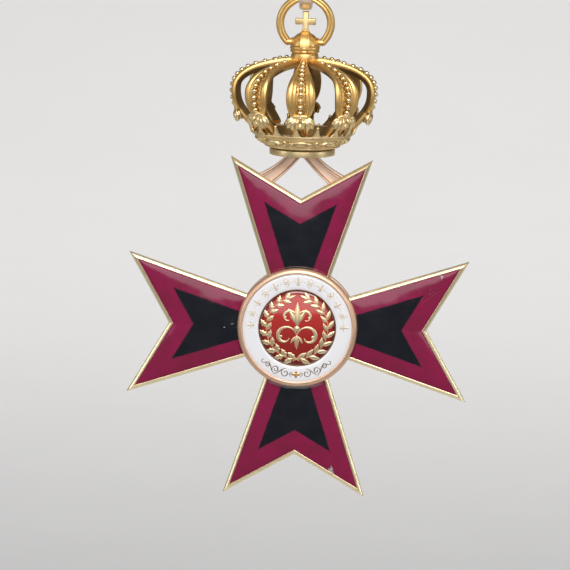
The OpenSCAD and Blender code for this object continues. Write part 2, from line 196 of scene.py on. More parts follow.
# %% A material that is mixed from nodes
class Recipe:
    """A material that is being mixed"""

    def __init__(self, name):
        self.material = bpy.data.materials.new(name)
        self.material.use_nodes = True
        self.tree = self.material.node_tree
        self.tree.nodes.clear()

    def add(self, kind, settings=None, sockets=None, output=0):
        """One node: its settings first, then the values or wires of its sockets"""
        node = self.tree.nodes.new(kind)
        for key, value in (settings or {}).items():
            setattr(node, key, value)
        for key, value in (sockets or {}).items():
            if isinstance(value, Wire):
                self.tree.links.new(value.socket, node.inputs[key])
            else:
                node.inputs[key].default_value = value
        return Wire(self, node.outputs[output]) if node.outputs else None

    def position(self):
        """How far right and up of the cross's centre a point of the piece lies, in millimetres"""
        place = self.add("ShaderNodeTexCoord", output=3)
        right, up = (self.add("ShaderNodeSeparateXYZ", sockets={0: place}, output=k) for k in (0, 2))
        return right / MM, (up - cross_centre.z) / MM

    def grain(self, size, detail=2.0, roughness=0.5):
        """Noise between 0 and 1 whose grains are about size millimetres wide"""
        place = self.add("ShaderNodeTexCoord", output=3)
        return self.add("ShaderNodeTexNoise", sockets={
            "Vector": place, "Scale": 1 / (size * MM), "Detail": detail, "Roughness": roughness})

    def ramp(self, value, low, high):
        """0 below low, 1 above high, and an eased rise between them"""
        return self.add("ShaderNodeMapRange", {"interpolation_type": "SMOOTHSTEP"},
                        {"Value": value, "From Min": low, "From Max": high})

    def mix(self, share, first, second):
        """The first colour where share is 0, the second where it is 1"""
        colours = [c if isinstance(c, Wire) else (*c, 1) for c in (first, second)]
        return self.add("ShaderNodeMix", {"data_type": "RGBA"}, {0: share, 6: colours[0], 7: colours[1]}, output=2)

    def bump(self, height, strength, distance):
        """A normal that makes height show as relief; distance is in millimetres"""
        return self.add("ShaderNodeBump", sockets={"Height": height, "Strength": strength, "Distance": distance * MM})

    def finish(self, **sockets):
        """The shader itself, with its sockets' names in words joined by underscores"""
        named = {key.replace("_", " "): value for key, value in sockets.items()}
        shader = self.add("ShaderNodeBsdfPrincipled", sockets=named)
        self.add("ShaderNodeOutputMaterial", sockets={"Surface": shader})
        print(f"{self.material.name}: {len(self.tree.nodes)} nodes")
        return self.material


# %% [markdown]
# ## Gilding
#
# The crown was gilded matt and then burnished where a thumb can reach, so its recesses stay dull and its edges shine.
# A metal shader with one colour would look like a toy. So ambient occlusion finds the recesses, which get rougher and
# are painted darker and browner: painted shade, on top of the grime and dull gilding that real recesses hold. A fine
# noise breaks up the sheen. The rims of the cross are polished all over, the medallion's rim is redder, and one
# function gives every shade.

# %% The golds
def gilding(name, bright, deep, polish, tooth, tooth_size, dirt_and_shade):
    """Gilt metal: two shades, roughness, strength and size of its fine texture, and the painted shade and grime of
    its recesses
    """
    gold = Recipe(name)
    cloud = gold.grain(2.8, detail=2)
    fine = gold.grain(tooth_size, detail=2)
    recess = gold.add("ShaderNodeAmbientOcclusion", {"samples": 6, "only_local": True},
                      {"Distance": 0.8 * MM}, output=1)
    open_part = gold.ramp(recess, 0.25, 0.9)
    shade = gold.mix(gold.ramp(cloud, 0.3, 0.75) * 0.5, bright, deep)
    # Painted shade: recesses that ambient occlusion finds are darkened towards this colour, which also stands for
    # their grime
    grime_and_shade = tuple(0.22 * c for c in deep)
    colour = gold.mix((1 - open_part) * dirt_and_shade, shade, grime_and_shade)
    rough = polish + (fine - 0.5) * 0.12 + (cloud - 0.5) * 0.08 + (1 - open_part) * 0.22
    relief = gold.bump(fine, tooth, 0.04)
    return gold.finish(Base_Color=colour, Metallic=1.0, Roughness=rough, Normal=relief)


crown_gold = gilding("crown_gold", (0.92, 0.61, 0.23), (0.70, 0.42, 0.13), 0.43, 0.30, 0.18, dirt_and_shade=0.8)
# A brighter copy of the crown's gold for the circlet and the leaves: painted light, for light from below that the
# lamps do not give
brightened_wall_gold = gilding("brightened_wall_gold", (0.99, 0.79, 0.43), (0.93, 0.67, 0.33), 0.40, 0.24, 0.18, dirt_and_shade=0.58)
# A dark copy of the gold: painted shade for the faces inside the crown, which are also rougher
shaded_inside_gold = gilding("shaded_inside_gold", (0.36, 0.23, 0.09), (0.20, 0.12, 0.045), 0.55, 0.20, 0.20, dirt_and_shade=0.8)
pearl_gold = gilding("pearl_gold", (0.99, 0.79, 0.44), (0.94, 0.68, 0.32), 0.24, 0.08, 0.20, dirt_and_shade=0.2)
champagne = gilding("champagne", (0.90, 0.70, 0.37), (0.80, 0.58, 0.26), 0.52, 0.06, 0.20, dirt_and_shade=0.3)
pale_gold = gilding("pale_gold", (0.97, 0.84, 0.55), (0.86, 0.69, 0.38), 0.36, 0.05, 0.30, dirt_and_shade=0.4)
rose_gold = gilding("rose_gold", (0.91, 0.63, 0.45), (0.83, 0.53, 0.36), 0.50, 0.05, 0.30, dirt_and_shade=0.5)
band_copper = gilding("band_copper", (0.99, 0.73, 0.56), (0.90, 0.60, 0.44), 0.52, 0.06, 0.30, dirt_and_shade=0.8)
loop_silver = gilding("loop_silver", (0.97, 0.92, 0.90), (0.86, 0.78, 0.74), 0.34, 0.03, 0.25, dirt_and_shade=0.3)
leaf_gold = gilding("leaf_gold", (0.97, 0.80, 0.52), (0.86, 0.62, 0.34), 0.42, 0.05, 0.20, dirt_and_shade=0.6)
# The gold line round the red dome is painted dark brown all round: a painted shadow at the dome's foot
shadowed_line_gold = gilding("shadowed_line_gold", (0.36, 0.20, 0.11), (0.24, 0.12, 0.07), 0.42, 0.05, 0.20, dirt_and_shade=0.8)

# %% [markdown]
# ## Enamel
#
# Enamel is coloured glass melted into the cells, so it is glossy, and it creeps a little up the metal at its edges.
# The crimson and the black were fired side by side, with no metal between them, so their border is soft. That border
# is made in the material and not with two meshes: the four arms are alike, so a point's place along and across its
# arm says which colour it has. Small chips, fine scratches and specks show where the badge was worn.

# %% The outline of an arm, as in the plain model
CROSS_REACH = 36.0
ARM_HALF = 15.0
NOTCH_DEPTH = 8.7
NECK_HALF = 3.15
BLACK_FROM_SIDE = 4.0
BLACK_FROM_NOTCH = 4.5
side_slope = (ARM_HALF - NECK_HALF) / CROSS_REACH
notch_slope = NOTCH_DEPTH / ARM_HALF
notch_foot = CROSS_REACH - NOTCH_DEPTH
print("slopes of the side and the notch:", round(side_slope, 3), round(notch_slope, 3), "notch foot:", notch_foot)


def from_side(across, along):
    """How far a point of an arm lies inside its long side"""
    return (NECK_HALF + side_slope * along - across) / math.hypot(1, side_slope)


def from_notch(across, along):
    """How far a point of an arm lies inside its forked end"""
    return (notch_foot + notch_slope * across - along) / math.hypot(1, notch_slope)


# %% Enamel of the cross
CHIPS = ((-31.3, -6.6, 2.4), (8.2, -30.2, 2.2), (-13.6, 31.4, 2.0), (30.4, 11.6, 1.2))
SCRATCHED = (27, 8)
SPECKLED = (-14.4, -0.8)
SLOPE_REACH = 10.0
SLOPE_FALL = 19.5


def cross_enamel():
    """Crimson with a black field, with chips, scratches and specks"""
    glass = Recipe("cross_enamel")
    x, z = glass.position()
    along, across = abs(x).at_least(abs(z)), abs(x).at_most(abs(z))
    to_side, to_notch = from_side(across, along), from_notch(across, along)
    wobble = (glass.grain(1.3, detail=2) - 0.5) * 0.22
    inside = (to_side - BLACK_FROM_SIDE).at_most(to_notch - BLACK_FROM_NOTCH)
    black_field = glass.ramp(inside + wobble, -0.16, 0.16)
    cloud = glass.grain(3.5, detail=3)
    crimson = glass.mix(glass.ramp(cloud, 0.35, 0.7), (0.255, 0.010, 0.060), (0.205, 0.012, 0.046))
    black = glass.mix(glass.ramp(cloud, 0.3, 0.75), (0.006, 0.007, 0.011), (0.010, 0.011, 0.016))
    colour = glass.mix(black_field, crimson, black)

    # Chips beside the rims at four places, where the glass broke off the metal
    edge = to_side.at_most(to_notch)
    bits = glass.grain(0.55, detail=3, roughness=0.6)
    chipped = None
    for spot_x, spot_z, reach in CHIPS:
        near = 1 - glass.ramp(((x - spot_x) ** 2 + (z - spot_z) ** 2) ** 0.5, 0.2 * reach, reach)
        chipped = near if chipped is None else chipped.at_least(near)
    chips = glass.ramp(bits * 0.6 + chipped * 0.62 - edge * 0.16, 0.66, 0.70)
    colour = glass.mix(chips, colour, (0.42, 0.36, 0.36))

    # Fine scratches over the right arm's upper tip, and specks beside the medallion
    right, up = x - SCRATCHED[0], z - SCRATCHED[1]
    lane, cross_lane = right * 0.80 + up * 0.60, up * 0.80 - right * 0.60
    wave = glass.add("ShaderNodeMath", {"operation": "SINE"}, {0: cross_lane * 9.3})
    patch = 1 - glass.ramp(lane * lane * 0.08 + cross_lane * cross_lane * 0.35, 0.2, 1.6)
    scratch = glass.ramp(wave * wave * wave, 0.975, 1.0) * glass.ramp(glass.grain(2.6), 0.52, 0.58) * patch
    dust = glass.ramp(glass.grain(0.42, detail=0), 0.76, 0.79)
    beside = 1 - glass.ramp(((x - SPECKLED[0]) ** 2 + (z - SPECKLED[1]) ** 2) ** 0.5, 1.0, 2.2)
    colour = glass.mix((scratch * 0.5).at_least(dust * beside * 0.8), colour, (0.55, 0.52, 0.54))

    worn = glass.ramp(glass.grain(1.1, detail=4, roughness=0.65), 0.45, 0.8)
    rough = 0.10 + worn * 0.08 + chips * 0.5 + scratch * 0.3

    # The glass slopes down towards its edges, so that their upper ones catch the light in a soft haze
    side_slant = (1 - to_side / SLOPE_REACH).at_least(0)
    notch_slant = (1 - to_notch / SLOPE_REACH).at_least(0)
    pillow = (side_slant * side_slant + notch_slant * notch_slant) * -SLOPE_FALL
    wave_form = glass.grain(4.5, detail=1) * 2.2 - chips * 0.8 + glass.grain(0.6) * 0.10
    ripple = glass.bump(wave_form + pillow, 0.35, 0.10)
    return glass.finish(Base_Color=colour, Roughness=rough, Normal=ripple, IOR=1.55, Coat_Weight=0.35,
                        Coat_Roughness=0.06)


enamel_finish = cross_enamel()


# %% White and red enamel of the medallion
def plain_enamel(name, colour, other, edge_radius, shade_and_pit_colour, foot=1.0):
    """Enamel of one colour with painted shade: darker towards a round edge and towards the bottom, with pits"""
    glass = Recipe(name)
    x, z = glass.position()
    away = (x * x + z * z) ** 0.5
    cloud = glass.ramp(glass.grain(3.0, detail=3), 0.3, 0.75)
    shade = glass.mix(cloud, colour, other)
    # Painted shade: darker towards the bottom, as if lit from above; foot scales the lower colour
    lit_top_share = glass.ramp(z, -6.5, 6.5)
    shade = glass.mix(lit_top_share, tuple(foot * c for c in other), shade)
    # Painted shade that deepens towards the round edge; the same colour marks the pits
    rim = glass.ramp(away, edge_radius - 1.5, edge_radius)
    shade = glass.mix(rim * 0.85, shade, shade_and_pit_colour)
    pits = glass.ramp(glass.grain(0.5, detail=0), 0.80, 0.83)
    shade = glass.mix(pits * 0.35, shade, shade_and_pit_colour)
    ripple = glass.bump(glass.grain(3.2, detail=1) * 1.6 + glass.grain(0.5) * 0.08, 0.3, 0.08)
    rough = 0.10 + glass.ramp(glass.grain(0.9, detail=4), 0.45, 0.8) * 0.07
    return glass.finish(Base_Color=shade, Roughness=rough, Normal=ripple, IOR=1.55, Coat_Weight=0.3,
                        Coat_Roughness=0.05)


white_finish = plain_enamel("white_enamel", (0.87, 0.87, 0.90), (0.84, 0.84, 0.87), 20.0, (0.6, 0.55, 0.52))
red_finish = plain_enamel("red_enamel", (0.55, 0.040, 0.034), (0.48, 0.032, 0.026), 8.1, (0.05, 0.004, 0.004), 0.55)

# %% [markdown]
# ## The rims of the cross
#
# Each arm is a tray: a gold floor with a raised rim round it. A profile swept along the outline would need its
# corners mitred by hand. An inset mitres them by itself, so insets of the outline's one face, each with a depth,
# build the whole cross-section: the outer wall, a rounded bevel, the polished top, and the drop to the floor. The
# front half is made first, mirrored to the back, and repeated for four arms.

# %% Four arms with rims on both faces
ARMS = ("top", "left", "bottom", "right")
ARM_START = 4.0
RIM_STEPS = ((0.002, 0.52), (0.06, 0.07), (0.12, 0.11), (0.14, 0.10), (0.12, 0.08), (0.10, 0.05), (0.08, 0.03),
             (0.08, 0.0), (0.07, -0.04), (0.05, -0.07), (0.02, -0.45))


def arm_outline(inner):
    """The five corners of an arm that points up the board"""
    half = NECK_HALF + side_slope * inner
    return [(0, notch_foot), (-ARM_HALF, CROSS_REACH), (-half, inner), (half, inner), (ARM_HALF, CROSS_REACH)]


def tray():
    """One arm: the front half from insets, and the back half as its mirror image"""
    bench = bmesh.new()
    face = bench.faces.new([bench.verts.new((x, y, 0)) for x, y in arm_outline(ARM_START)])
    face.normal_update()
    for inwards, rise in RIM_STEPS:
        bmesh.ops.inset_region(bench, faces=[face], thickness=inwards, depth=rise, use_boundary=True,
                               use_even_offset=True)
    bmesh.ops.mirror(bench, geom=bench.verts[:] + bench.edges[:] + bench.faces[:], axis="Z", merge_dist=1e-4)
    return outwards(bench)


rims = bmesh.new()
for k in range(len(ARMS)):
    absorb(rims, tray(), Matrix.Rotation(math.radians(90 * k), 4, "Z"))
hand_over(rims, "cross_rims", UPRIGHT, pale_gold, "badge", ["cross_frame"], sharp=20)

# %% [markdown]
# ## The enamel of one arm
#
# The melted glass stands a little higher in the middle of a field and turns down where it meets metal. That shape
# needs points all over the field, so it starts as a fine grid, which is trimmed along the rim with `bisect_plane`
# and raised by a rule: height grows with the distance to the nearest edge. One half is made and mirrored.

# %% Pillowed enamel on both faces
RIM = 0.84
MEDAL_R = 12.7
CELL_FLOOR = 0.40
GRID_STEP = 0.42
GLASS_LEVEL = 0.84
GLASS_SWELL = 0.13
MENISCUS = 0.5
FIELD_START, FIELD_TALL, FIELD_WIDE = 10, 27.0, 15.0


def enamel_height(x, y):
    """Height of the glass over the middle of the cross's thickness"""
    edge = min(from_side(abs(x), y), from_notch(abs(x), y)) - RIM
    medal = math.hypot(x, y) - MEDAL_R
    swell = 1 - math.exp(-max(edge, 0) / MENISCUS)
    ring = 1 - math.exp(-max(medal, 0) / MENISCUS)
    ripple = 0.03 * noise.noise(Vector((x * 0.22, y * 0.22, 3)))
    return GLASS_LEVEL + (GLASS_SWELL * swell + ripple) * ring


def field():
    """The glass of one arm, from the medallion outwards"""
    bench = bmesh.new()
    bmesh.ops.create_grid(bench, x_segments=round(FIELD_WIDE / GRID_STEP), y_segments=round(FIELD_TALL / GRID_STEP),
                          size=0.5)
    bmesh.ops.scale(bench, vec=(FIELD_WIDE, FIELD_TALL, 1), verts=bench.verts)
    bmesh.ops.translate(bench, vec=(FIELD_WIDE / 2, FIELD_START + FIELD_TALL / 2, 0), verts=bench.verts)
    on_side = Vector((NECK_HALF, 0, 0))
    across_side = Vector((1, -side_slope, 0)).normalized()
    on_notch = Vector((0, notch_foot, 0))
    across_notch = Vector((-notch_slope, 1, 0)).normalized()
    for point, outward in ((on_side, across_side), (on_notch, across_notch)):
        for depth, clear in ((RIM, True), (RIM + 0.12, False), (RIM + 0.3, False)):
            everything = bench.verts[:] + bench.edges[:] + bench.faces[:]
            bmesh.ops.bisect_plane(bench, geom=everything, dist=1e-4, plane_co=point - depth * outward,
                                   plane_no=outward, clear_outer=clear)
    inside = [f for f in bench.faces if all(v.co.length < MEDAL_R - 0.5 for v in f.verts)]
    bmesh.ops.delete(bench, geom=inside, context="FACES")
    bmesh.ops.mirror(bench, geom=bench.verts[:] + bench.edges[:] + bench.faces[:], axis="X", merge_dist=1e-3)
    for vert in bench.verts:
        vert.co.z = enamel_height(vert.co.x, vert.co.y)
    bmesh.ops.remove_doubles(bench, verts=bench.verts, dist=1e-3)
    skirt = bmesh.ops.extrude_edge_only(bench, edges=[e for e in bench.edges if e.is_boundary])
    for vert in (v for v in skirt["geom"] if isinstance(v, bmesh.types.BMVert)):
        vert.co.z = CELL_FLOOR
    bmesh.ops.holes_fill(bench, edges=[e for e in bench.edges if e.is_boundary], sides=0)
    bmesh.ops.recalc_face_normals(bench, faces=bench.faces)
    return bench


FLIP = Matrix.Rotation(math.radians(180), 4, "Y")
for face_name, flip in (("front", Matrix.Identity(4)), ("back", FLIP)):
    for k, arm in enumerate(ARMS):
        turn = Matrix.Rotation(math.radians(90 * k if face_name == "front" else -90 * k), 4, "Z")
        hand_over(field(), f"enamel_{face_name}_{arm}", UPRIGHT @ flip @ turn, enamel_finish, "badge",
                  [f"crimson_{face_name}_{arm}", f"black_{face_name}_{arm}"], sharp=60)

# %% [markdown]
# ## The medallion
#
# Round parts come from a lathe: a gold cup with a rolled rim on each face, the white enamel band, a thin gold line
# and the red dome. Bevelled cylinders would do for plain ones, but a half profile spun about an axis holds every
# moulding. The profiles' corners are rounded first, because a rounded edge catches a line of light that a knife
# edge never does.

# %% A lathe, and profiles with rounded corners
def turned(profile, steps=144):
    """A shape turned on a lathe: its half profile of (radius, height) points, spun about Z"""
    bench = bmesh.new()
    verts = [bench.verts.new((r, 0, h)) for r, h in profile]
    edges = [bench.edges.new(pair) for pair in zip(verts, verts[1:] + verts[:1])]
    bmesh.ops.spin(bench, geom=verts + edges, cent=(0, 0, 0), axis=(0, 0, 1), angle=math.tau,
                   steps=steps, use_merge=True, use_duplicate=False)
    return outwards(bench)


def rounded(corners, radius, steps=4):
    """A closed profile whose corners are rounded, each by no more than its edges allow"""
    points = []
    count = len(corners)
    for i in range(count):
        before, here, after = (Vector(corners[(i + k) % count]) for k in (-1, 0, 1))
        cut = min(radius, 0.45 * (before - here).length, 0.45 * (after - here).length)
        start = here + cut * (before - here).normalized()
        end = here + cut * (after - here).normalized()
        for k in range(steps + 1):
            t = k / steps
            points.append((1 - t) ** 2 * start + 2 * t * (1 - t) * here + t * t * end)
    return points


print("a rounded square has", len(rounded([(0, 0), (1, 0), (1, 1), (0, 1)], 0.1)), "corners")

# %% Sizes of the cups, the white band and the dome
CUP_FLOOR = 1.03
RIM_TOP = 2.6
RIM_IN = MEDAL_R - 1.13
BAND_IN = 8.26
DISC_R = 7.95
DISC_EDGE = 2.24
DISC_RISE = 0.9
DOME_R = (DISC_R ** 2 + DISC_RISE ** 2) / (2 * DISC_RISE)
DOME_Z = DISC_EDGE + DISC_RISE - DOME_R
CUP_TOP = 1.5
POST_R = 1.05
BAND_FOOT = 1.52
BAND_OUT = RIM_IN - 0.01
LINE_IN, LINE_OUT = 7.98, 8.25
LINE_FOOT, LINE_TOP = 1.55, 2.06
BACK_TOP, BACK_FALL = 2.72, 0.38


def cup():
    """The rolled rim and floor of a medallion"""
    return turned(rounded([
        (POST_R, CUP_FLOOR), (MEDAL_R - 0.25, CUP_FLOOR), (MEDAL_R, CUP_FLOOR + 0.25), (MEDAL_R, RIM_TOP - 0.72),
        (MEDAL_R - 0.34, RIM_TOP - 0.26), (MEDAL_R - 0.70, RIM_TOP - 0.04), (RIM_IN + 0.16, RIM_TOP),
        (RIM_IN, RIM_TOP - 0.12), (RIM_IN, CUP_TOP), (POST_R, CUP_TOP)], 0.22, steps=5), steps=192)


def band_height(away):
    """Height of the white enamel, which dips at both of its edges"""
    edge = min(away - BAND_IN, RIM_IN - away)
    return 2.18 + 0.17 * (1 - math.exp(-max(edge, 0) / 0.35))


def dome_height(away):
    """Height of the red dome"""
    return DOME_Z + math.sqrt(DOME_R ** 2 - away ** 2)


print("dome radius:", round(DOME_R, 2), "top of the dome:", round(dome_height(0), 2))

# %% Cups, white band, line and dome
def eased_radii(reach, steps=30):
    """Radii from 0 to reach that crowd towards the edge, where a dome turns down"""
    return [reach * math.sin(math.pi / 2 * k / steps) for k in range(steps + 1)]


def band_radii(steps=26):
    """Radii across the white band that crowd towards both of its edges"""
    return [BAND_IN + (BAND_OUT - BAND_IN) * (1 - math.cos(math.pi * k / steps)) / 2 for k in range(steps + 1)]


hand_over(cup(), "medal_rim_front", UPRIGHT, rose_gold, "badge", ["front_bezel"], sharp=50)
hand_over(cup(), "medal_rim_back", UPRIGHT @ FLIP, rose_gold, "badge", ["back_bezel"], sharp=50)
hand_over(turned([(BAND_OUT, BAND_FOOT), (BAND_IN, BAND_FOOT)] + [(r, band_height(r)) for r in band_radii()], 192),
          "white_band_enamel", UPRIGHT, white_finish, "badge", ["white_band"])
hand_over(turned(rounded([(LINE_IN, LINE_FOOT), (LINE_OUT, LINE_FOOT), (LINE_OUT, LINE_TOP), (LINE_IN, LINE_TOP)],
                         0.1), 192),
          "gold_line", UPRIGHT, shadowed_line_gold, "badge", ["disc_fillet"], sharp=50)
dome_line = [(r, dome_height(r) - 0.16 * math.exp(-(DISC_R - r) / 0.22)) for r in eased_radii(DISC_R)]
hand_over(turned(dome_line + [(DISC_R, LINE_FOOT), (0, LINE_FOOT)], 160),
          "red_dome", UPRIGHT, red_finish, "badge", ["red_disc"])
back_line = [(r, BACK_TOP - BACK_FALL * (r / RIM_IN) ** 2 - 0.16 * math.exp(-(RIM_IN - r) / 0.3))
             for r in eased_radii(BAND_OUT)]
hand_over(turned(back_line + [(BAND_OUT, BAND_FOOT), (0, BAND_FOOT)], 160),
          "back_enamel", UPRIGHT @ FLIP, white_finish, "badge", ["back_disc"])
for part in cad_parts["medallion_post"].material_slots:
    part.material = rose_gold

# %% [markdown]
# ## Raised gold on the enamel
#
# The wreath, the fleuron and the small ornaments were cut from thin gold and chased, so each leaf and stroke has a
# rounded back. A bevelled curve could draw them, but its section stays round. So all of them are one kind of shape:
# a bent grid whose rows run round a low arch, with a width that changes along the way. They are drawn on the flat
# board and then draped over the dome or the band.

# %% A grid that is bent to a rule
def bent_grid(columns, rows, place, close_ends=True):
    """A flat grid whose points go where place(u, v) says, with its open ends filled"""
    bench = bmesh.new()
    bmesh.ops.create_grid(bench, x_segments=columns, y_segments=rows, size=0.5)
    for vert in bench.verts:
        vert.co = place(vert.co.x + 0.5, vert.co.y + 0.5)
    bmesh.ops.remove_doubles(bench, verts=bench.verts, dist=1e-4)
    if close_ends:
        rim = [edge for edge in bench.edges if edge.is_boundary]
        bmesh.ops.holes_fill(bench, edges=rim, sides=0)
    return outwards(bench)


tube = bent_grid(8, 6, lambda u, v: Vector((math.cos(math.tau * v), math.sin(math.tau * v), u)))
print("a grid bent to a tube has", len(tube.faces), "faces")
tube.free()

# %% Strokes and leaves
SUNK = 0.10


def stroke(path, width, rise, samples=28, around=8, ridge=1.0):
    """A raised stroke along path(t), as wide as width(t), with a low arched back; a high ridge makes a crease"""
    def place(u, v):
        here = path(u)
        ahead = path(min(u + 0.01, 1)) - path(max(u - 0.01, 0))
        side = Vector((-ahead.y, ahead.x)).normalized()
        turn = math.tau * v
        across = math.cos(turn) * max(width(u), 0.02) / 2
        up = rise * (0.3 + 0.7 * math.sin(math.pi * u) ** 0.5)
        lift = up * math.sin(turn) ** ridge if math.sin(turn) > 1e-9 else -SUNK
        return Vector((here.x + side.x * across, here.y + side.y * across, lift))
    return bent_grid(samples, around, place)


def leaf(length, width, rise, lobes=0, bow=0.0, samples=20):
    """A leaf that starts at the origin and points along X; lobes make it an oak leaf, and bow bends it"""
    def path(t):
        return Vector((length * t, bow * math.sin(math.pi * t / 2), 0))

    def spread(t):
        body = math.sin(math.pi * min(t * 1.02, 1) ** 0.85) ** 0.8
        notch = 1 - 0.34 * (0.5 - 0.5 * math.cos(math.tau * lobes * t)) if lobes else 1
        return 0.04 + width * max(body, 0) * notch
    return stroke(path, spread, rise, samples=samples, around=12, ridge=1.6)


trial = leaf(2.0, 1.0, 0.2)
print("a leaf has", len(trial.faces), "faces")
trial.free()


def drape(bench, surface):
    """Lift a flat drawing onto a round surface"""
    for vert in bench.verts:
        vert.co.z += surface(math.hypot(vert.co.x, vert.co.y))
    return bench


def placed(angle, away, turn, scale=1.0):
    """Where a small motif goes: on a circle of radius away, turned from the radial direction"""
    return (Matrix.Rotation(math.radians(angle), 4, "Z") @ Matrix.Translation((away, 0, 0))
            @ Matrix.Rotation(math.radians(turn), 4, "Z") @ Matrix.Scale(scale, 4))


def bead(bench, place, radius, flat=0.7):
    """A small round bead"""
    bmesh.ops.create_uvsphere(bench, u_segments=12, v_segments=8, radius=radius,
                              matrix=place @ Matrix.Diagonal((1, 1, flat, 1)))


# %% The wreath: laurel on the right, oak on the left
WREATH_R = 6.58


def branch(kind):
    """One branch of the wreath, from its crossed foot to its tip, drawn for the right side"""
    bench = bmesh.new()
    first, last, pairs = 264, 437, 10
    lobes = 3 if kind == "oak" else 0

    def stem(t):
        turn = math.radians(first + (last - first - 6) * t)
        return (WREATH_R + 0.05 * math.sin(9 * t)) * Vector((math.cos(turn), math.sin(turn), 0))
    absorb(bench, stroke(stem, lambda t: 0.24 - 0.12 * t, 0.12, samples=70))
    for k in range(pairs):
        share = k / (pairs - 1)
        angle = first + 11 + (last - first - 23) * share
        size = 1.10 - 0.18 * share
        for side in (-1, 1):
            length, width, bow, tilt = (1.95, 1.26, -0.14, 34) if kind == "oak" else (2.15, 0.92, -0.16, 30)
            absorb(bench, leaf(length, width, 0.17, lobes=lobes, bow=bow * side),
                   placed(angle + 2.6 * side, WREATH_R, 90 - side * tilt, size))
        if k % 2 and kind == "laurel":
            for side in (-1, 1):
                bead(bench, placed(angle + 7, WREATH_R + 0.78 * side, 0), 0.17)
        if k % 3 == 1 and kind == "oak":
            bead(bench, placed(angle + 7, WREATH_R + 0.8, 0), 0.19)
    absorb(bench, leaf(2.0, 0.72, 0.22, lobes=lobes), placed(last - 7, WREATH_R, 84))
    return bench


wreath = branch("laurel")
absorb(wreath, branch("oak"), Matrix.Scale(-1, 4, (1, 0, 0)))
for turn in (55, 125):
    crossed = stroke(lambda t: Vector((1.8 * t - 0.9, 0, 0)), lambda t: 0.22, 0.16, samples=6)
    absorb(wreath, crossed, placed(270, WREATH_R, turn))
outwards(wreath)
drape(wreath, dome_height)
hand_over(wreath, "wreath_relief", UPRIGHT, leaf_gold, "badge", ["wreath"], sharp=60)

# %% The fleuron in the middle
def scroll(start, turn, r0, r1):
    """A spiral about the origin, from radius r0 to r1"""
    return lambda t: (r0 + (r1 - r0) * t) * Vector(
        (math.cos(math.radians(start + turn * t)), math.sin(math.radians(start + turn * t)), 0))


def swelling(thin, thick):
    """A width that is thin at both ends and thick in the middle"""
    return lambda t: thin + (thick - thin) * math.sin(math.pi * t) ** 2


fleuron = bmesh.new()
for side in (1, -1):
    half = bmesh.new()
    absorb(half, stroke(scroll(0, -330, 2.1, 0.75), swelling(0.2, 0.75), 0.24, samples=60, around=12),
           Matrix.Translation((2.1, -1.5, 0)) @ Matrix.Rotation(math.radians(-185), 4, "Z"))
    absorb(half, stroke(scroll(0, -300, 1.55, 0.55), swelling(0.18, 0.6), 0.22, samples=50, around=12),
           Matrix.Translation((1.55, 2.1, 0)) @ Matrix.Rotation(math.radians(200), 4, "Z"))
    absorb(half, leaf(2.9, 0.8, 0.24, bow=0.25),
           Matrix.Translation((0.35, 1.15, 0)) @ Matrix.Rotation(math.radians(58), 4, "Z"))
    absorb(half, leaf(1.5, 0.5, 0.2, bow=0.1),
           Matrix.Translation((0.3, -1.5, 0)) @ Matrix.Rotation(math.radians(-62), 4, "Z"))
    for x, y, r in ((2.95, -1.55, 0.28), (2.2, 2.1, 0.22)):
        bead(half, Matrix.Translation((x, y, 0.05)), r)
    absorb(fleuron, half, Matrix.Scale(side, 4, (1, 0, 0)))
absorb(fleuron, leaf(4.6, 1.15, 0.28), Matrix.Translation((0, 0.4, 0)) @ Matrix.Rotation(math.radians(90), 4, "Z"))
absorb(fleuron, leaf(2.7, 0.9, 0.26), Matrix.Translation((0, -1.2, 0)) @ Matrix.Rotation(math.radians(-90), 4, "Z"))
bead(fleuron, Matrix.Translation((0, 0, 0.08)), 0.55, flat=0.5)
outwards(fleuron)
bmesh.ops.scale(fleuron, vec=(1.14, 1.14, 0.9), verts=fleuron.verts)
drape(fleuron, dome_height)
hand_over(fleuron, "fleuron_relief", UPRIGHT, leaf_gold, "badge", ["fleuron"], sharp=70)

# %% [markdown]
# ## Ornaments on the white band
#
# Thin gold on white enamel reads as a fine line, so these motifs stand only a few hundredths of a millimetre high.
# They could be painted in the enamel's material, but as strokes they keep a crisp edge and catch the light.
# Buds and small rosettes take turns over the upper half, with beads between them, and a running scroll with a knot
# in its middle fills the lower part.

# %% Buds and rosettes
BAND_MID = (BAND_IN + RIM_IN) / 2
band_gold = gilding("band_gold", (0.90, 0.79, 0.64), (0.74, 0.60, 0.46), 0.58, 0.05, 0.2, dirt_and_shade=0.2)
scroll_gold = gilding("scroll_gold", (0.34, 0.27, 0.22), (0.24, 0.18, 0.14), 0.42, 0.05, 0.2, dirt_and_shade=0.4)
knot_gold = gilding("knot_gold", (0.80, 0.52, 0.24), (0.66, 0.38, 0.16), 0.40, 0.05, 0.2, dirt_and_shade=0.4)


def bud():
    """A blade between two strokes that curl outwards, on a short cross line"""
    bench = bmesh.new()
    absorb(bench, leaf(2.1, 0.50, 0.03, samples=12), Matrix.Translation((-0.95, 0, 0)))
    for side in (1, -1):
        absorb(bench, stroke(scroll(-90 * side, -235 * side, 0.46, 0.22), swelling(0.20, 0.32), 0.03, samples=18,
                             around=6), Matrix.Translation((0.28, 0.50 * side, 0)))
        absorb(bench, stroke(lambda t: Vector((-0.75 + 1.0 * t, side * (0.30 - 0.30 * t), 0)), swelling(0.08, 0.14),
                             0.05, samples=6, around=6))
    absorb(bench, stroke(lambda t: Vector((-0.62, 0.9 * t - 0.45, 0)), lambda t: 0.18, 0.05, samples=4, around=6))
    return bench


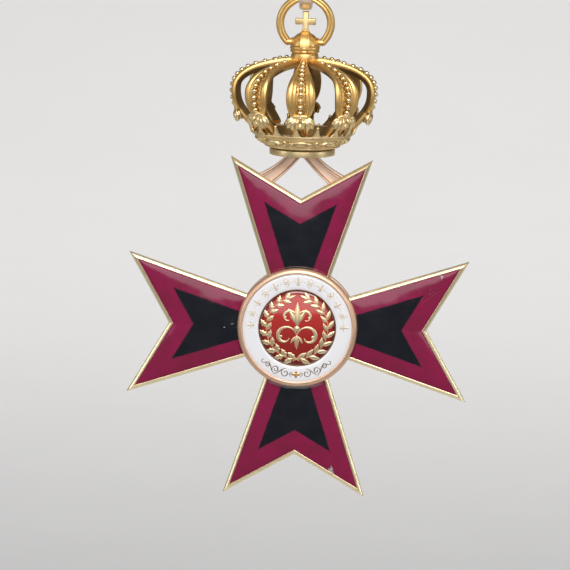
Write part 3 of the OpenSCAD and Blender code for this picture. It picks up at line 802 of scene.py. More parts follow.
def rosette():
    """Four round petals in a lozenge of fine line"""
    bench = bmesh.new()
    for k in range(4):
        absorb(bench, leaf(0.60, 0.42, 0.03, samples=8), Matrix.Rotation(math.radians(45 + 90 * k), 4, "Z"))
        corner = Matrix.Rotation(math.radians(90 * k), 4, "Z")
        start, end = ((1.04, 0.74), (0.74, 1.04))[k % 2]
        absorb(bench, stroke(lambda t: Vector((start * (1 - t), end * t, 0)), lambda t: 0.20, 0.03, samples=4,
                             around=6), corner)
    bead(bench, Matrix.Identity(4), 0.11, flat=0.45)
    return bench


MOTIFS = 13
FIRST_MOTIF, LAST_MOTIF = 178, 2
motif_step = (LAST_MOTIF - FIRST_MOTIF) / (MOTIFS - 1)
ornaments = bmesh.new()
for k in range(MOTIFS):
    angle = FIRST_MOTIF + motif_step * k
    absorb(ornaments, bud() if k % 2 == 0 else rosette(), placed(angle, BAND_MID, 0))
    if k:
        bead(ornaments, placed(angle - motif_step / 2, BAND_MID, 0), 0.13, flat=0.5)
outwards(ornaments)
drape(ornaments, band_height)
hand_over(ornaments, "band_ornaments", UPRIGHT, band_gold, "badge", sharp=70)

# %% The running scroll
def band_place(angle):
    """A place on the band's lower part: X runs along the band away from the middle, Y towards the disc"""
    return placed(270 + angle, BAND_MID, 90)


CURLS = ((13.4, 0.98, 1), (26.0, 0.84, -1), (37.0, 0.56, 1))
running = bmesh.new()
for side in (1, -1):
    mirrored = Matrix.Scale(side, 4, (1, 0, 0))
    for angle, size, way in CURLS:
        curl = stroke(scroll(90 * way, -480 * way, size, 0.16), swelling(0.22, 0.36), 0.05, samples=60, around=6)
        absorb(running, curl, mirrored @ band_place(angle))
        reach = 1.06 * size
        run = stroke(lambda t: Vector((2.5 * size * t, way * (size - reach * (1 - math.cos(math.pi * t)) * 0.85), 0)),
                     swelling(0.20, 0.32), 0.05, samples=20, around=6)
        absorb(running, run, mirrored @ band_place(angle))
    tail = stroke(scroll(-90, 150, 0.55, 0.35), swelling(0.12, 0.28), 0.05, samples=20, around=6)
    absorb(running, tail, mirrored @ band_place(43.5))
    absorb(running, stroke(scroll(-100, 280, 0.50, 0.16), swelling(0.16, 0.30), 0.05, samples=30, around=6),
           mirrored @ band_place(5.6))
outwards(running)
drape(running, band_height)
hand_over(running, "band_scroll", UPRIGHT, scroll_gold, "badge", sharp=70)

knot = bmesh.new()
for turn, length in ((90, 1.15), (270, 1.15), (0, 0.85), (180, 0.85)):
    absorb(knot, leaf(length, 0.62, 0.05, samples=10), placed(270, BAND_MID, turn))
bead(knot, placed(270, BAND_MID, 0), 0.26, flat=0.4)
outwards(knot)
drape(knot, band_height)
hand_over(knot, "band_knot", UPRIGHT, knot_gold, "badge", sharp=70)

# %% [markdown]
# ## The crown's base ring and circlet
#
# The crown stands on a smooth ring. Above it the wall flares outwards to a ledge with fine line mouldings, and flat
# points with a bead at each tip lean out round the top. The wall and the ring are one turned shape. The lozenges
# and upright frames between them could be embossed in the wall, but on the real crown they were soldered on, so
# they are separate small shapes pushed into it.

# %% Pearls, and a mark for painted shade on faces inside the crown
def pearl(bench, radius, place, steps=20):
    """A round bead, whose faces are marked to take the second finish of its piece"""
    ball = bmesh.ops.create_uvsphere(bench, u_segments=steps, v_segments=round(steps * 0.7), radius=radius,
                                     matrix=place)
    for face in {face for vert in ball["verts"] for face in vert.link_faces}:
        face.material_index = 1


def shade_inside(bench, height):
    """Mark the faces that look towards a point on the crown's axis, to take the third finish, a painted shade"""
    for face in bench.faces:
        if face.material_index == 0:
            away = face.calc_center_median() - Vector((0, 0, height))
            if face.normal.dot(away.normalized()) < -0.35:
                face.material_index = 2


print("finishes of a crown piece:", pearl_gold.name, "on pearls,", shaded_inside_gold.name, "inside")

# %% The turned wall
wall_line = [(1.25, 0.9), (1.25, 0.02)] + rounded([
    (6.6, 0.02), (6.95, 0.02), (6.95, 1.25), (6.6, 1.42), (6.42, 1.55), (6.48, 1.72), (7.3, 1.74), (7.95, 1.80),
    (8.12, 2.02), (8.02, 2.22), (8.26, 2.28), (8.42, 2.44), (8.36, 2.60), (9.96, 3.86), (10.14, 3.88),
    (10.24, 4.06), (10.16, 4.18), (10.46, 4.24), (10.68, 4.44), (10.62, 4.56), (10.96, 4.62), (11.10, 4.80),
    (11.02, 4.98), (8.62, 4.98)], 0.14, steps=4) + [(5.35, 0.9)]
circlet = turned(wall_line, steps=216)
print("turned wall:", len(circlet.faces), "faces")

# %% Sixteen points with beads
POINTS = 16
FIRST_POINT = -4.5


def flat_point(width, height, thick):
    """A flat point with a rounded edge and a raised rim, standing on its foot"""
    bench = bmesh.new()
    outline = rounded([(-width / 2, 0), (-width * 0.44, height * 0.14), (-width * 0.22, height * 0.45),
                       (-width * 0.09, height), (width * 0.09, height), (width * 0.22, height * 0.45),
                       (width * 0.44, height * 0.14), (width / 2, 0)], 0.25, steps=4)
    face = bench.faces.new([bench.verts.new((x, 0, y)) for x, y in outline])
    face.normal_update()
    for inwards, rise in ((0.001, thick / 2 - 0.06), (0.07, 0.06), (0.12, 0.0), (0.05, -0.06)):
        bmesh.ops.inset_region(bench, faces=[face], thickness=inwards, depth=rise, use_boundary=True,
                               use_even_offset=True)
    bmesh.ops.mirror(bench, geom=bench.verts[:] + bench.edges[:] + bench.faces[:], axis="Y", merge_dist=1e-4)
    return outwards(bench)


def circlet_place(angle, radius, height, lean):
    """A place on the flared wall: X along the wall, Z up it, Y towards the crown's axis"""
    return (Matrix.Rotation(math.radians(angle), 4, "Z") @ Matrix.Translation((radius, 0, height))
            @ Matrix.Rotation(math.radians(lean), 4, "Y") @ Matrix.Rotation(math.radians(90), 4, "Z"))


for k in range(POINTS):
    angle = 360 * k / POINTS + FIRST_POINT
    absorb(circlet, flat_point(2.5, 2.3, 0.44), circlet_place(angle, 10.72, 4.72, 24))
    pearl(circlet, 0.36, circlet_place(angle, 11.68, 6.88, 0))
    pearl(circlet, 0.20, circlet_place(angle + 180 / POINTS, 10.95, 5.08, 0), 12)
print("with its points:", len(circlet.faces), "faces")

# %% Lozenges and frames on the wall
LOZENGE_ROOT = 0.8
LOZENGE_STEPS = ((1.0, 0.55), (0.94, 0.9), (0.86, 1.0), (0.78, 0.9), (0.74, 0.35), (0.66, 0.35), (0.60, 0.8),
                 (0.40, 1.25), (0.15, 1.4))
WALL_LEAN = 51
WALL_R, WALL_Z = 9.22, 3.26
ARCHES = 8


def lozenge(long_side, short_side, rise):
    """A pointed oval with a raised border and a domed middle, lying in X and Z: one loop, extruded and shrunk"""
    bench = bmesh.new()
    outline = []
    for k in range(32):
        turn = math.tau * k / 32
        pinch = 1 - 0.25 * abs(math.sin(turn)) * (1 - abs(math.sin(turn)))
        outline.append((long_side / 2 * math.cos(turn) * pinch, LOZENGE_ROOT, short_side / 2 * math.sin(turn)))
    verts = [bench.verts.new(point) for point in outline]
    loop = [bench.edges.new(pair) for pair in zip(verts, verts[1:] + verts[:1])]
    share, height = 1.0, -LOZENGE_ROOT
    for next_share, next_height in LOZENGE_STEPS:
        grown = bmesh.ops.extrude_edge_only(bench, edges=loop)["geom"]
        verts = [item for item in grown if isinstance(item, bmesh.types.BMVert)]
        loop = [item for item in grown if isinstance(item, bmesh.types.BMEdge) and item.is_boundary]
        shrink = next_share / share
        bmesh.ops.scale(bench, vec=(shrink, 1, shrink), verts=verts)
        bmesh.ops.translate(bench, vec=(0, height - next_height * rise, 0), verts=verts)
        share, height = next_share, next_height * rise
    bmesh.ops.holes_fill(bench, edges=[edge for edge in bench.edges if edge.is_boundary], sides=0)
    return outwards(bench)


def arch_angle(k):
    """Where arch k stands: the diagonal ones are a little nearer to the front and the back"""
    even = 360 * k / ARCHES
    return even - 4 * math.sin(math.radians(2 * even)) - 90


for k in range(ARCHES):
    angle, between = arch_angle(k), (arch_angle(k) + arch_angle(k + 1)) / 2
    absorb(circlet, lozenge(4.3, 1.8, 0.42), circlet_place(angle, WALL_R, WALL_Z, WALL_LEAN))
    absorb(circlet, lozenge(1.35, 1.9, 0.42), circlet_place(between, WALL_R, WALL_Z, WALL_LEAN))
    for side in (-1, 1):
        pearl(circlet, 0.24, circlet_place(between + side * 5.9, 9.24, 3.24, WALL_LEAN), 12)
outwards(circlet)
shade_inside(circlet, 8)
hand_over(circlet, "circlet_relief", CROWN, brightened_wall_gold, "badge", ["crown_circlet"], sharp=50,
          others=(pearl_gold, shaded_inside_gold))

# %% [markdown]
# ## The eight arches
#
# An arch is one strap with a channel between two raised borders, and a row of pearls in the channel. The strap is a
# bent grid: one direction runs along the arch and the other runs round its cross-section, which is scaled to the
# width that the arch has there. A curve with a bevel profile could follow the arch, but would scale the channel's
# depth with its width. The pearls grow and shrink with the width.

# %% The arch's line, width and section
def bezier(a, b, c, d, t):
    """A point of a cubic curve"""
    return ((1 - t) ** 3 * Vector(a) + 3 * t * (1 - t) ** 2 * Vector(b) + 3 * t * t * (1 - t) * Vector(c)
            + t ** 3 * Vector(d))


def arch_line(t):
    """The arch's path as (distance from the axis, height), t from 0 to 2"""
    if t < 1:
        return bezier((10.4, 5.03), (12.0, 7.0), (15.35, 8.9), (15.2, 13.7), t)
    return bezier((15.2, 13.7), (15.2, 17.5), (11.3, 19.7), (2.75, 20.4), t - 1)


def arch_outward(t):
    """The direction out of the strap at t"""
    ahead = arch_line(min(t + 0.01, 2)) - arch_line(max(t - 0.01, 0))
    return Vector((ahead.y, -ahead.x)).normalized()


def arch_width(t):
    """The strap's width at t: widest at the shoulder, narrow at the foot and at the top"""
    if t < 1:
        return max(3.7, 6.2 - 15 * (1 - t) ** 2)
    return 1.6 + 4.6 * max(0, math.cos(math.radians(98 * (t - 1)))) ** 1.3


SECTION = rounded([(0.0, -1.85), (-0.60, -1.85), (-0.98, -0.95), (-1.0, -0.45), (-0.88, -0.10), (-0.74, 0.0),
                   (-0.60, -0.06), (-0.54, -0.22), (-0.48, -0.30), (-0.42, -0.24), (-0.34, -0.30), (-0.30, -0.46),
                   (0.30, -0.46), (0.34, -0.30), (0.42, -0.24), (0.48, -0.30), (0.54, -0.22), (0.60, -0.06),
                   (0.74, 0.0), (0.88, -0.10), (1.0, -0.45), (0.98, -0.95), (0.60, -1.85)], 0.10, steps=2)
print("an arch reaches", round(max(arch_line(k / 20).x for k in range(41)), 2), "mm from the axis")

# %% Eight straps with pearls
PEARLS = 12
FIRST_PEARL, LAST_PEARL = 0.62, 1.86
pearl_step = (LAST_PEARL - FIRST_PEARL) / (PEARLS - 1)


def on_arch(t, across, depth):
    """A point of the strap: across in millimetres, depth along the outward direction"""
    foot, out = arch_line(t), arch_outward(t)
    return Vector((foot.x + out.x * depth, across, foot.y + out.y * depth))


def arch():
    """One arch that rises from the +X side"""
    def place(u, v):
        t = 2 * u
        share, depth = SECTION[round(v * len(SECTION)) % len(SECTION)]
        return on_arch(t, share * arch_width(t) / 2, depth)
    bench = bent_grid(64, len(SECTION), place)
    for k in range(PEARLS):
        t = FIRST_PEARL + pearl_step * k
        size = 0.56 * (0.82 + 0.18 * min(1, arch_width(t) / 4))
        pearl(bench, size, Matrix.Translation(on_arch(t, 0, -0.06)), 24)
        between = t + pearl_step / 2
        if k < PEARLS - 1:
            for side in (-1, 1):
                nub = on_arch(between, side * arch_width(between) * 0.13, -0.40)
                bmesh.ops.create_uvsphere(bench, u_segments=10, v_segments=8, radius=0.17,
                                          matrix=Matrix.Translation(nub))
    outwards(bench)
    shade_inside(bench, 11)
    return bench


for k in range(ARCHES):
    hand_over(arch(), f"arch_strap_{k + 1}", CROWN @ Matrix.Rotation(math.radians(arch_angle(k)), 4, "Z"),
              crown_gold, "badge", [f"arch_{k + 1}"], sharp=60, others=(pearl_gold, shaded_inside_gold))

# %% [markdown]
# ## The leaves at the feet of the arches
#
# Each arch springs from a curled leaf. The leaf was cast: fat lobes roll over at the top and run down in creased
# folds. Sculpting by hand can't be written down in a script, so the lobes are round strokes along short curves, and
# a voxel remesh melts them together, as wax would.

# %% Lobes of wax
def lobe(bench, points, radii):
    """A round stroke through three points, with a radius at each"""
    start, mid, end = (Vector(p) for p in points)
    for k in range(13):
        t = k / 12
        here = (1 - t) ** 2 * start + 2 * t * (1 - t) * mid + t * t * end
        radius = (1 - t) ** 2 * radii[0] + 2 * t * (1 - t) * radii[1] + t * t * radii[2]
        bmesh.ops.create_icosphere(bench, subdivisions=2, radius=radius, matrix=Matrix.Translation(here))


def curled_leaf():
    """A leaf at the +X side, before it is melted"""
    bench = bmesh.new()
    lobe(bench, [(13.8, -1.5, 8.95), (14.3, 0, 9.45), (13.8, 1.5, 8.95)], (0.34, 0.46, 0.34))
    lobe(bench, [(13.2, 0, 8.7), (13.5, 0, 8.0), (12.8, 0, 7.2)], (0.80, 0.85, 0.60))
    for side in (-1, 1):
        lobe(bench, [(13.3, 1.0 * side, 8.5), (13.3, 1.4 * side, 7.9), (12.9, 1.5 * side, 7.3)], (0.62, 0.65, 0.5))
        for start, bulge, end, thick in (
                ((1.40, 8.80), (14.0, 2.50, 8.75), (13.3, 2.85, 7.75), 0.34),
                ((1.25, 8.50), (14.3, 2.45, 8.15), (13.4, 2.50, 7.05), 0.40),
                ((0.90, 8.40), (14.6, 1.65, 8.00), (13.5, 1.62, 6.75), 0.42),
                ((0.40, 8.50), (14.7, 0.75, 8.10), (13.6, 0.62, 7.00), 0.36)):
            lobe(bench, [(13.7, start[0] * side, start[1]), (bulge[0], bulge[1] * side, bulge[2]),
                         (end[0], end[1] * side, end[2])], (thick * 0.8, thick * 1.1, thick))
            bmesh.ops.create_icosphere(bench, subdivisions=2, radius=thick,
                                       matrix=Matrix.Translation((end[0] + 0.1, end[1] * side, end[2])))
    lobe(bench, [(13.5, 0, 7.6), (14.2, 0, 7.2), (13.9, 0, 6.75)], (0.25, 0.24, 0.26))
    return bench


wax = curled_leaf()
print("lobes before they are melted:", len(wax.faces), "faces")

# %% Eight leaves, melted into one skin each
VOXEL = 0.09
LEAF_FOOT, WAX_FOOT = 7.05, 6.65
LEAF_STRETCH = 1.06
LEAF_SHIFT = 0.26


def melted(bench, voxel):
    """Fuse overlapping closed shapes into one skin"""
    mesh = bpy.data.meshes.new("melted")
    bench.to_mesh(mesh)
    bench.free()
    body = bpy.data.objects.new("melted", mesh)
    bpy.context.scene.collection.objects.link(body)
    remesh = body.modifiers.new("melt", "REMESH")
    remesh.mode, remesh.voxel_size = "VOXEL", voxel
    smooth = body.modifiers.new("smooth", "SMOOTH")
    smooth.factor, smooth.iterations = 0.5, 2
    skin = bpy.data.meshes.new_from_object(body.evaluated_get(bpy.context.evaluated_depsgraph_get()))
    bpy.data.objects.remove(body)
    result = bmesh.new()
    result.from_mesh(skin)
    bpy.data.meshes.remove(skin)
    return result


leaf_skin = melted(wax, VOXEL)
for vert in leaf_skin.verts:
    vert.co.z = LEAF_FOOT + (vert.co.z - WAX_FOOT) * LEAF_STRETCH
    vert.co.x += LEAF_SHIFT
leaf_mesh = bpy.data.meshes.new("leaf_skin")
bmesh.ops.recalc_face_normals(leaf_skin, faces=leaf_skin.faces)
shade_inside(leaf_skin, 8)
leaf_skin.to_mesh(leaf_mesh)
leaf_skin.free()
for k in range(ARCHES):
    copy = bmesh.new()
    copy.from_mesh(leaf_mesh)
    hand_over(copy, f"leaf_curl_{k + 1}", CROWN @ Matrix.Rotation(math.radians(arch_angle(k)), 4, "Z"),
              brightened_wall_gold, "badge", [f"leaf_{k + 1}"], sharp=80, others=(pearl_gold, shaded_inside_gold))

# %% [markdown]
# ## Orb, orb cross, ring and loop
#
# The orb is turned, with an equator band and a strap over its top. The ring passes through the orb from side to
# side. A torus would cut through it, so it is an open ring with a straight pin between its ends. The loop is a long
# link bent from bar, as the part it hangs from is hidden.

# %% Orb with equator and strap
ORB_Z = 22.9
PIN_Z = 23.8
PIN_BORE = 0.78
ORB_R = 3.05
COLLAR_X = 2.62
orb_line = rounded([(0, -3.68), (2.42, -3.68), (2.72, -3.3), (2.86, -2.9), (2.92, -2.3), (2.88, -1.75),
                    (2.72, -1.45), (2.74, -1.30), (3.06, -1.12), (3.12, -0.90), (3.02, -0.72), (3.02, -0.60),
                    (3.14, -0.48), (3.16, -0.20), (3.12, 0.04), (2.98, 0.12)], 0.1, steps=3)[4:]
dome = [(ORB_R * math.cos(math.radians(a)), ORB_R * math.sin(math.radians(a))) for a in range(5, 71, 3)]
orb = turned([(0, -3.68)] + orb_line + dome + [(0.95, 2.98), (0.72, 3.12), (0.72, 3.33), (0, 3.33)], steps=128)


def strap(radius, width, thick):
    """A band over the orb from front to back, as a bent grid of a little more than half a turn"""
    section = rounded([(-width / 2, -0.4), (-width / 2, thick), (-width / 2 + 0.34, thick),
                       (-width / 2 + 0.34, thick * 0.35), (width / 2 - 0.34, thick * 0.35),
                       (width / 2 - 0.34, thick), (width / 2, thick), (width / 2, -0.4)], 0.09, steps=2)

    def place(u, v):
        across, rise = section[round(v * len(section)) % len(section)]
        turn = math.radians(-18 + 216 * u)
        return Vector((across, (radius + rise) * math.cos(turn), (radius + rise) * math.sin(turn)))
    return bent_grid(90, len(section), place)


absorb(orb, strap(ORB_R, 1.8, 0.22))
for side in (-1, 1):
    collar = turned(rounded([(PIN_BORE, 0), (1.05, 0), (1.0, 0.12), (0.92, 0.26), (PIN_BORE, 0.26)], 0.08, 3), 48)
    absorb(orb, collar, Matrix.Translation((COLLAR_X * side, 0, PIN_Z - ORB_Z))
           @ Matrix.Rotation(math.radians(90 * side), 4, "Y"))
outwards(orb)
hand_over(orb, "orb_turned", CROWN @ Matrix.Translation((0, 0, ORB_Z)), crown_gold, "badge", ["orb"],
          sharp=45)

# %% The cross on the orb
ORB_CROSS_HALF = 2.2


def small_cross():
    """A cross with slightly widening arms and bevelled edges"""
    bench = bmesh.new()
    limb, reach, foot, flare = 0.62, ORB_CROSS_HALF, 0.88, 0.69
    outline = [(-limb, limb), (-flare, reach - 0.16), (-flare + 0.16, reach), (flare - 0.16, reach),
               (flare, reach - 0.16), (limb, limb), (reach - 0.16, flare), (reach, flare - 0.16),
               (reach, 0.16 - flare), (reach - 0.16, -flare), (limb, -limb), (limb, -reach + 0.9),
               (foot, -reach + 0.1), (-foot, -reach + 0.1), (-limb, -reach + 0.9), (-limb, -limb),
               (-reach + 0.16, -flare), (-reach, 0.16 - flare), (-reach, flare - 0.16), (-reach + 0.16, flare)]
    face = bench.faces.new([bench.verts.new((x, y, 0)) for x, y in reversed(outline)])
    face.normal_update()
    for inwards, rise in ((0.001, 0.34), (0.06, 0.09), (0.07, 0.06), (0.07, 0.03)):
        bmesh.ops.inset_region(bench, faces=[face], thickness=inwards, depth=rise * face.normal.z,
                               use_boundary=True, use_even_offset=True)
    bmesh.ops.mirror(bench, geom=bench.verts[:] + bench.edges[:] + bench.faces[:], axis="Z", merge_dist=1e-4)
    return outwards(bench)


cross_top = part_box("orb_cross")[1][2]
ORB_CROSS = (Matrix.Translation((0, 0, cross_top)) @ Matrix.Rotation(math.radians(90), 4, "X") @ TO_METRES
             @ Matrix.Translation((0, -ORB_CROSS_HALF, 0)))
hand_over(small_cross(), "orb_cross_bevelled", ORB_CROSS, champagne, "badge", ["orb_cross"], sharp=25)

# %% The ring and its pin
RING_R = 5.48
WIRE_R = 0.72
PIN_R = 0.70
PIN_HALF = 3.77
END_X = 3.22
END_ROUND = 0.7
AROUND = 48
ring_middle = crown_foot + Vector((0, 0, 27.777 * MM))
pin_drop = math.sqrt(RING_R ** 2 - PIN_HALF ** 2)
arc_open = math.degrees(math.asin(END_X / RING_R))
arc_length = RING_R * math.radians(360 - 2 * arc_open)


def ring_bow():
    """The open ring in the X-Z plane: a wire with a fine channel on both faces, worn thinner where the loop pulls"""
    section = []
    for k in range(AROUND):
        turn = math.tau * k / AROUND
        groove = 0.20 * math.exp(-((abs(math.sin(turn)) - 1) / 0.035) ** 2)
        section.append(((WIRE_R - groove) * math.cos(turn), (WIRE_R - groove) * math.sin(turn)))

    def place(u, v):
        to_end = min(u, 1 - u) * arc_length
        cap = math.sqrt(1 - 0.8 * max(0, 1 - to_end / END_ROUND) ** 2)
        out, side = (cap * c for c in section[round(v * AROUND) % AROUND])
        turn = math.radians(-90 + arc_open + (360 - 2 * arc_open) * u)
        from_top = abs(math.degrees(turn) - 90)
        stout = 0.24 * min(1, max(0, (from_top - 14) / 18)) * (WIRE_R - out) / (2 * WIRE_R)
        away = RING_R + out - stout
        return Vector((away * math.cos(turn), side, away * math.sin(turn)))
    return bent_grid(120, AROUND, place)


bow = ring_bow()
pin = turned([(0, -PIN_HALF), (PIN_R, -PIN_HALF), (PIN_R, PIN_HALF), (0, PIN_HALF)], 40)
absorb(bow, pin, Matrix.Translation((0, 0, -pin_drop)) @ Matrix.Rotation(math.radians(90), 4, "Y"))
outwards(bow)
hand_over(bow, "ring_bow", Matrix.Translation(ring_middle) @ TO_METRES, crown_gold, "ring",
          ["suspension_ring"], sharp=60)

# %% The long loop
LINK_HALF = 3.9
BAR_THICK, BAR_WIDE = 0.9, 1.38
link_low, link_high = (Vector(corner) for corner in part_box("hanging_loop"))
link_middle = (link_low + link_high) / 2
LINK_STRAIGHT = ((link_high.z - link_low.z) / MM - 2 * (LINK_HALF + BAR_THICK)) / 2


def link():
    """A long link in the Y-Z plane with a section that is flat outside and softened at its corners"""
    section = rounded([(-BAR_THICK, -BAR_WIDE), (BAR_THICK, -BAR_WIDE), (BAR_THICK, BAR_WIDE),
                       (-BAR_THICK, BAR_WIDE)], 0.7, steps=6)

    def place(u, v):
        out, side = section[round(v * len(section)) % len(section)]
        turn = math.tau * u
        shift = LINK_STRAIGHT if math.sin(turn) > 0 else -LINK_STRAIGHT
        if abs(math.sin(turn)) < 1e-9:
            shift = 0
        return Vector((side, (LINK_HALF + out) * math.cos(turn), (LINK_HALF + out) * math.sin(turn) + shift))
    return bent_grid(96, len(section), place, close_ends=False)


hand_over(link(), "loop_link", Matrix.Translation(link_middle) @ TO_METRES, loop_silver, "loop",
          ["hanging_loop"], sharp=45)

# %% [markdown]
# ## The two bands
#
# The bands that join the crown to the cross curve away to the left and right and end on the slanting edges of the
# cross's upper notch. Each has a channel between borders with a fine line beside them, so it is a bent grid again.
# Its slanted ends could be modelled point by point, but it is quicker to make it too long, and to let two planes
# cut it off along the notch and along the crown's foot.

# %% Bands with double borders
BAND_TOP = 36.9
BAND_W = 2.48
BAND_FLARE = 0.5
BAND_T = 0.85
band_section = rounded([
    (-1.0, -0.80), (-1.0, 0.80), (-0.96, 1.0), (-0.74, 1.0), (-0.70, 0.74), (-0.63, 0.74), (-0.60, 0.92),
    (-0.50, 0.92), (-0.46, 0.66), (0.46, 0.66), (0.50, 0.92), (0.60, 0.92), (0.63, 0.74), (0.70, 0.74),
    (0.74, 1.0), (0.96, 1.0), (1.0, 0.80), (1.0, -0.80), (0.96, -1.0), (0.74, -1.0), (0.70, -0.74), (-0.70, -0.74),
    (-0.74, -1.0), (-0.96, -1.0)], 0.035, steps=2)


def band_line(t):
    """The middle line of the left band on the flat board"""
    return bezier((-0.5, BAND_TOP + 1), (-2.6, BAND_TOP - 1.6), (-4.4, BAND_TOP - 3.6), (-8.8, BAND_TOP - 6.4), t)


def band():
    """The left band, cut off at the notch's edge and at the crown's foot"""
    def place(u, v):
        across, up = band_section[round(v * len(band_section)) % len(band_section)]
        here = band_line(u)
        ahead = band_line(min(u + 0.01, 1)) - band_line(max(u - 0.01, 0))
        side = Vector((-ahead.y, ahead.x)).normalized()
        reach = across * BAND_W / 2 * (1 + BAND_FLARE * u ** 3)
        return Vector((here.x + side.x * reach, here.y + side.y * reach, up * BAND_T))
    bench = bent_grid(60, len(band_section), place)
    for point, outward in (((0, BAND_TOP - 0.03, 0), (0, 1, 0)), ((0, notch_foot + 0.04, 0), (-notch_slope, -1, 0))):
        everything = bench.verts[:] + bench.edges[:] + bench.faces[:]
        bmesh.ops.bisect_plane(bench, geom=everything, dist=1e-4, plane_co=point, plane_no=outward, clear_outer=True)
        bmesh.ops.holes_fill(bench, edges=[e for e in bench.edges if e.is_boundary], sides=0)
    return bench


bands = band()
absorb(bands, band(), Matrix.Scale(-1, 4, (1, 0, 0)))
stud = turned([(0, -0.4), (0.7, -0.4), (1.18, 0.0), (1.18, 0.86), (0, 0.86)], 40)
absorb(bands, stud, Matrix.Translation((0, BAND_TOP, 0)) @ Matrix.Rotation(math.radians(-90), 4, "X"))
outwards(bands)
hand_over(bands, "scroll_bands", UPRIGHT, band_copper, "badge", ["scroll_bracket"], sharp=45)

# %% [markdown]
# ## The studio
#
# The badge hangs in front of a pale sweep: a floor that curves up into a wall, so that no horizon shows. It could
# be a floor and a wall that meet, but their corner would cross the picture. The line of the sweep is drawn from the
# side and extruded across.

# %% The sweep
SWEEP_FRONT, SWEEP_BEND, SWEEP_TOP = -0.16, 1.8, 1.8
SWEEP_R = 0.6
SWEEP_HALF = 1.6


def sweep():
    """A floor that bends up into a backdrop"""
    bench = bmesh.new()
    floor = cad_box[0][2] - 0.20
    line = [(SWEEP_FRONT, 0.0), (SWEEP_BEND, 0.0)]
    for turn in (math.radians(a) for a in range(6, 91, 6)):
        line.append((SWEEP_BEND + SWEEP_R * math.sin(turn), SWEEP_R - SWEEP_R * math.cos(turn)))
    line.append((SWEEP_BEND + SWEEP_R, SWEEP_TOP))
    verts = [bench.verts.new((-SWEEP_HALF, y, floor + z)) for y, z in line]
    edges = [bench.edges.new(pair) for pair in zip(verts, verts[1:])]
    grown = bmesh.ops.extrude_edge_only(bench, edges=edges)["geom"]
    bmesh.ops.translate(bench, vec=(2 * SWEEP_HALF, 0, 0),
                        verts=[item for item in grown if isinstance(item, bmesh.types.BMVert)])
    bmesh.ops.recalc_face_normals(bench, faces=bench.faces)
    return bench


# The backdrop's paper
paper = Recipe("paper")
tint = paper.mix(paper.grain(60, detail=2), (0.80, 0.79, 0.78), (0.83, 0.82, 0.81))
paper_finish = paper.finish(Base_Color=tint, Roughness=0.9)
backdrop_mesh = bpy.data.meshes.new("backdrop")
sweep_bench = sweep()
sweep_bench.to_mesh(backdrop_mesh)
sweep_bench.free()
backdrop_mesh.materials.append(paper_finish)
backdrop_mesh.shade_smooth()
backdrop = bpy.data.objects.new("backdrop", backdrop_mesh)
bpy.context.scene.collection.objects.link(backdrop)
backdrop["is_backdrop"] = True
print("sweep:", len(backdrop_mesh.polygons), "faces")

# %% [markdown]
# ## Light
#
# Gold looks like gold only when it has something bright and something dark to reflect, so the room is a dim grey
# with a few soft lights. The key light above gives the broad highlights. A low wide panel in front gives the haze
# on the upper edges of the enamel. Two narrow lights at the sides draw the edges of the crown, a weak one lifts
# its underside, and the paper has a light of its own, because the key would have to be too strong to reach it. An
# environment picture would light it too, but none may be read, and plain panels are easier to place.

# %% Lights
def soft_light(name, place, target, size, watts, colour=(1, 1, 1)):
    """A rectangular area light that faces its target"""
    data = bpy.data.lights.new(name, "AREA")
    data.shape, data.size, data.size_y = "RECTANGLE", size[0], size[1]
    data.energy, data.color = watts, colour
    lamp = bpy.data.objects.new(name, data)
    bpy.context.scene.collection.objects.link(lamp)
    lamp.location = place
    lamp.rotation_euler = (Vector(target) - Vector(place)).to_track_quat("-Z", "Y").to_euler()
    return lamp


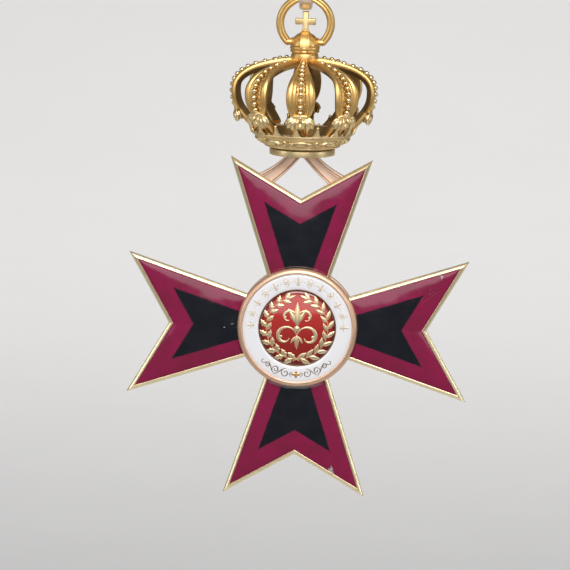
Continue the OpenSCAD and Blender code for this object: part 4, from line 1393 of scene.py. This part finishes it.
centre = tuple(cross_centre)
soft_light("key", (0.04, -0.50, 0.38), centre, (0.50, 0.34), 4.1, (1.0, 0.985, 0.97))
soft_light("front_panel", (0.0, -0.85, 0.085), centre, (0.9, 0.26), 1.35)
soft_light("under", (0.0, -0.32, -0.60), centre, (0.4, 0.2), 0.26, (1.0, 0.97, 0.94))
soft_light("fill_left", (-0.62, -0.26, 0.12), centre, (0.16, 0.50), 0.8)
soft_light("fill_right", (0.66, -0.20, 0.08), centre, (0.12, 0.45), 0.7)
paper_light = soft_light("paper_light", (0.0, 1.55, 1.5), (0.0, 1.75, -0.3), (1.6, 0.9), 9.6)
paper_light.data.spread = math.radians(100)
world = bpy.data.worlds.new("studio")
bpy.context.scene.world = world
world.use_nodes = True
grey = world.node_tree.nodes["Background"].inputs
grey["Color"].default_value = (0.62, 0.63, 0.66, 1)
grey["Strength"].default_value = 0.20

# %% [markdown]
# ## Camera
#
# The badge is seen from a little above through a long lens, which keeps its near and far parts at one scale. The
# camera could be placed by its coordinates, but here it stands on a sphere round its target, so that its angle can
# be changed without its distance. A slight roll follows the photograph.

# %% Camera
DISTANCE = 1.60
AZIMUTH = 2.5
ELEVATION = 8.5
ROLL = 1.5
LENS = 477
aim = cross_centre + Vector((-0.0029, 0, 0.0088))
around, above = math.radians(AZIMUTH), math.radians(ELEVATION)
away = Vector((math.sin(around) * math.cos(above), -math.cos(around) * math.cos(above), math.sin(above)))
camera_data = bpy.data.cameras.new("camera")
camera_data.lens = LENS
camera_data.sensor_width = 36
camera = bpy.data.objects.new("camera", camera_data)
bpy.context.scene.collection.objects.link(camera)
camera.location = aim + DISTANCE * away
look = (aim - camera.location).to_track_quat("-Z", "Y").to_matrix().to_4x4()
camera.rotation_euler = (look @ Matrix.Rotation(math.radians(ROLL), 4, "Z")).to_euler()
bpy.context.scene.camera = camera
bpy.context.scene.view_settings.view_transform = "Standard"
print("camera at", [round(c, 3) for c in camera.location])

# %% [markdown]
#
# The dressed model should fill the same box as the plain one. Both boxes are measured and their sizes printed next to
# each other, so that a piece that grew too far is found after each run.

# %% Print the sizes of the two boxes and finish
boxes = {"cad": [list(c) for c in cad_box], "visual": [list(c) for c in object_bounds()]}
print("sizes in mm:", {key: [round(1000 * (b[1][k] - b[0][k]), 2) for k in range(3)] for key, b in boxes.items()})
print(sum(made.values()), "faces in", len(made), "pieces")
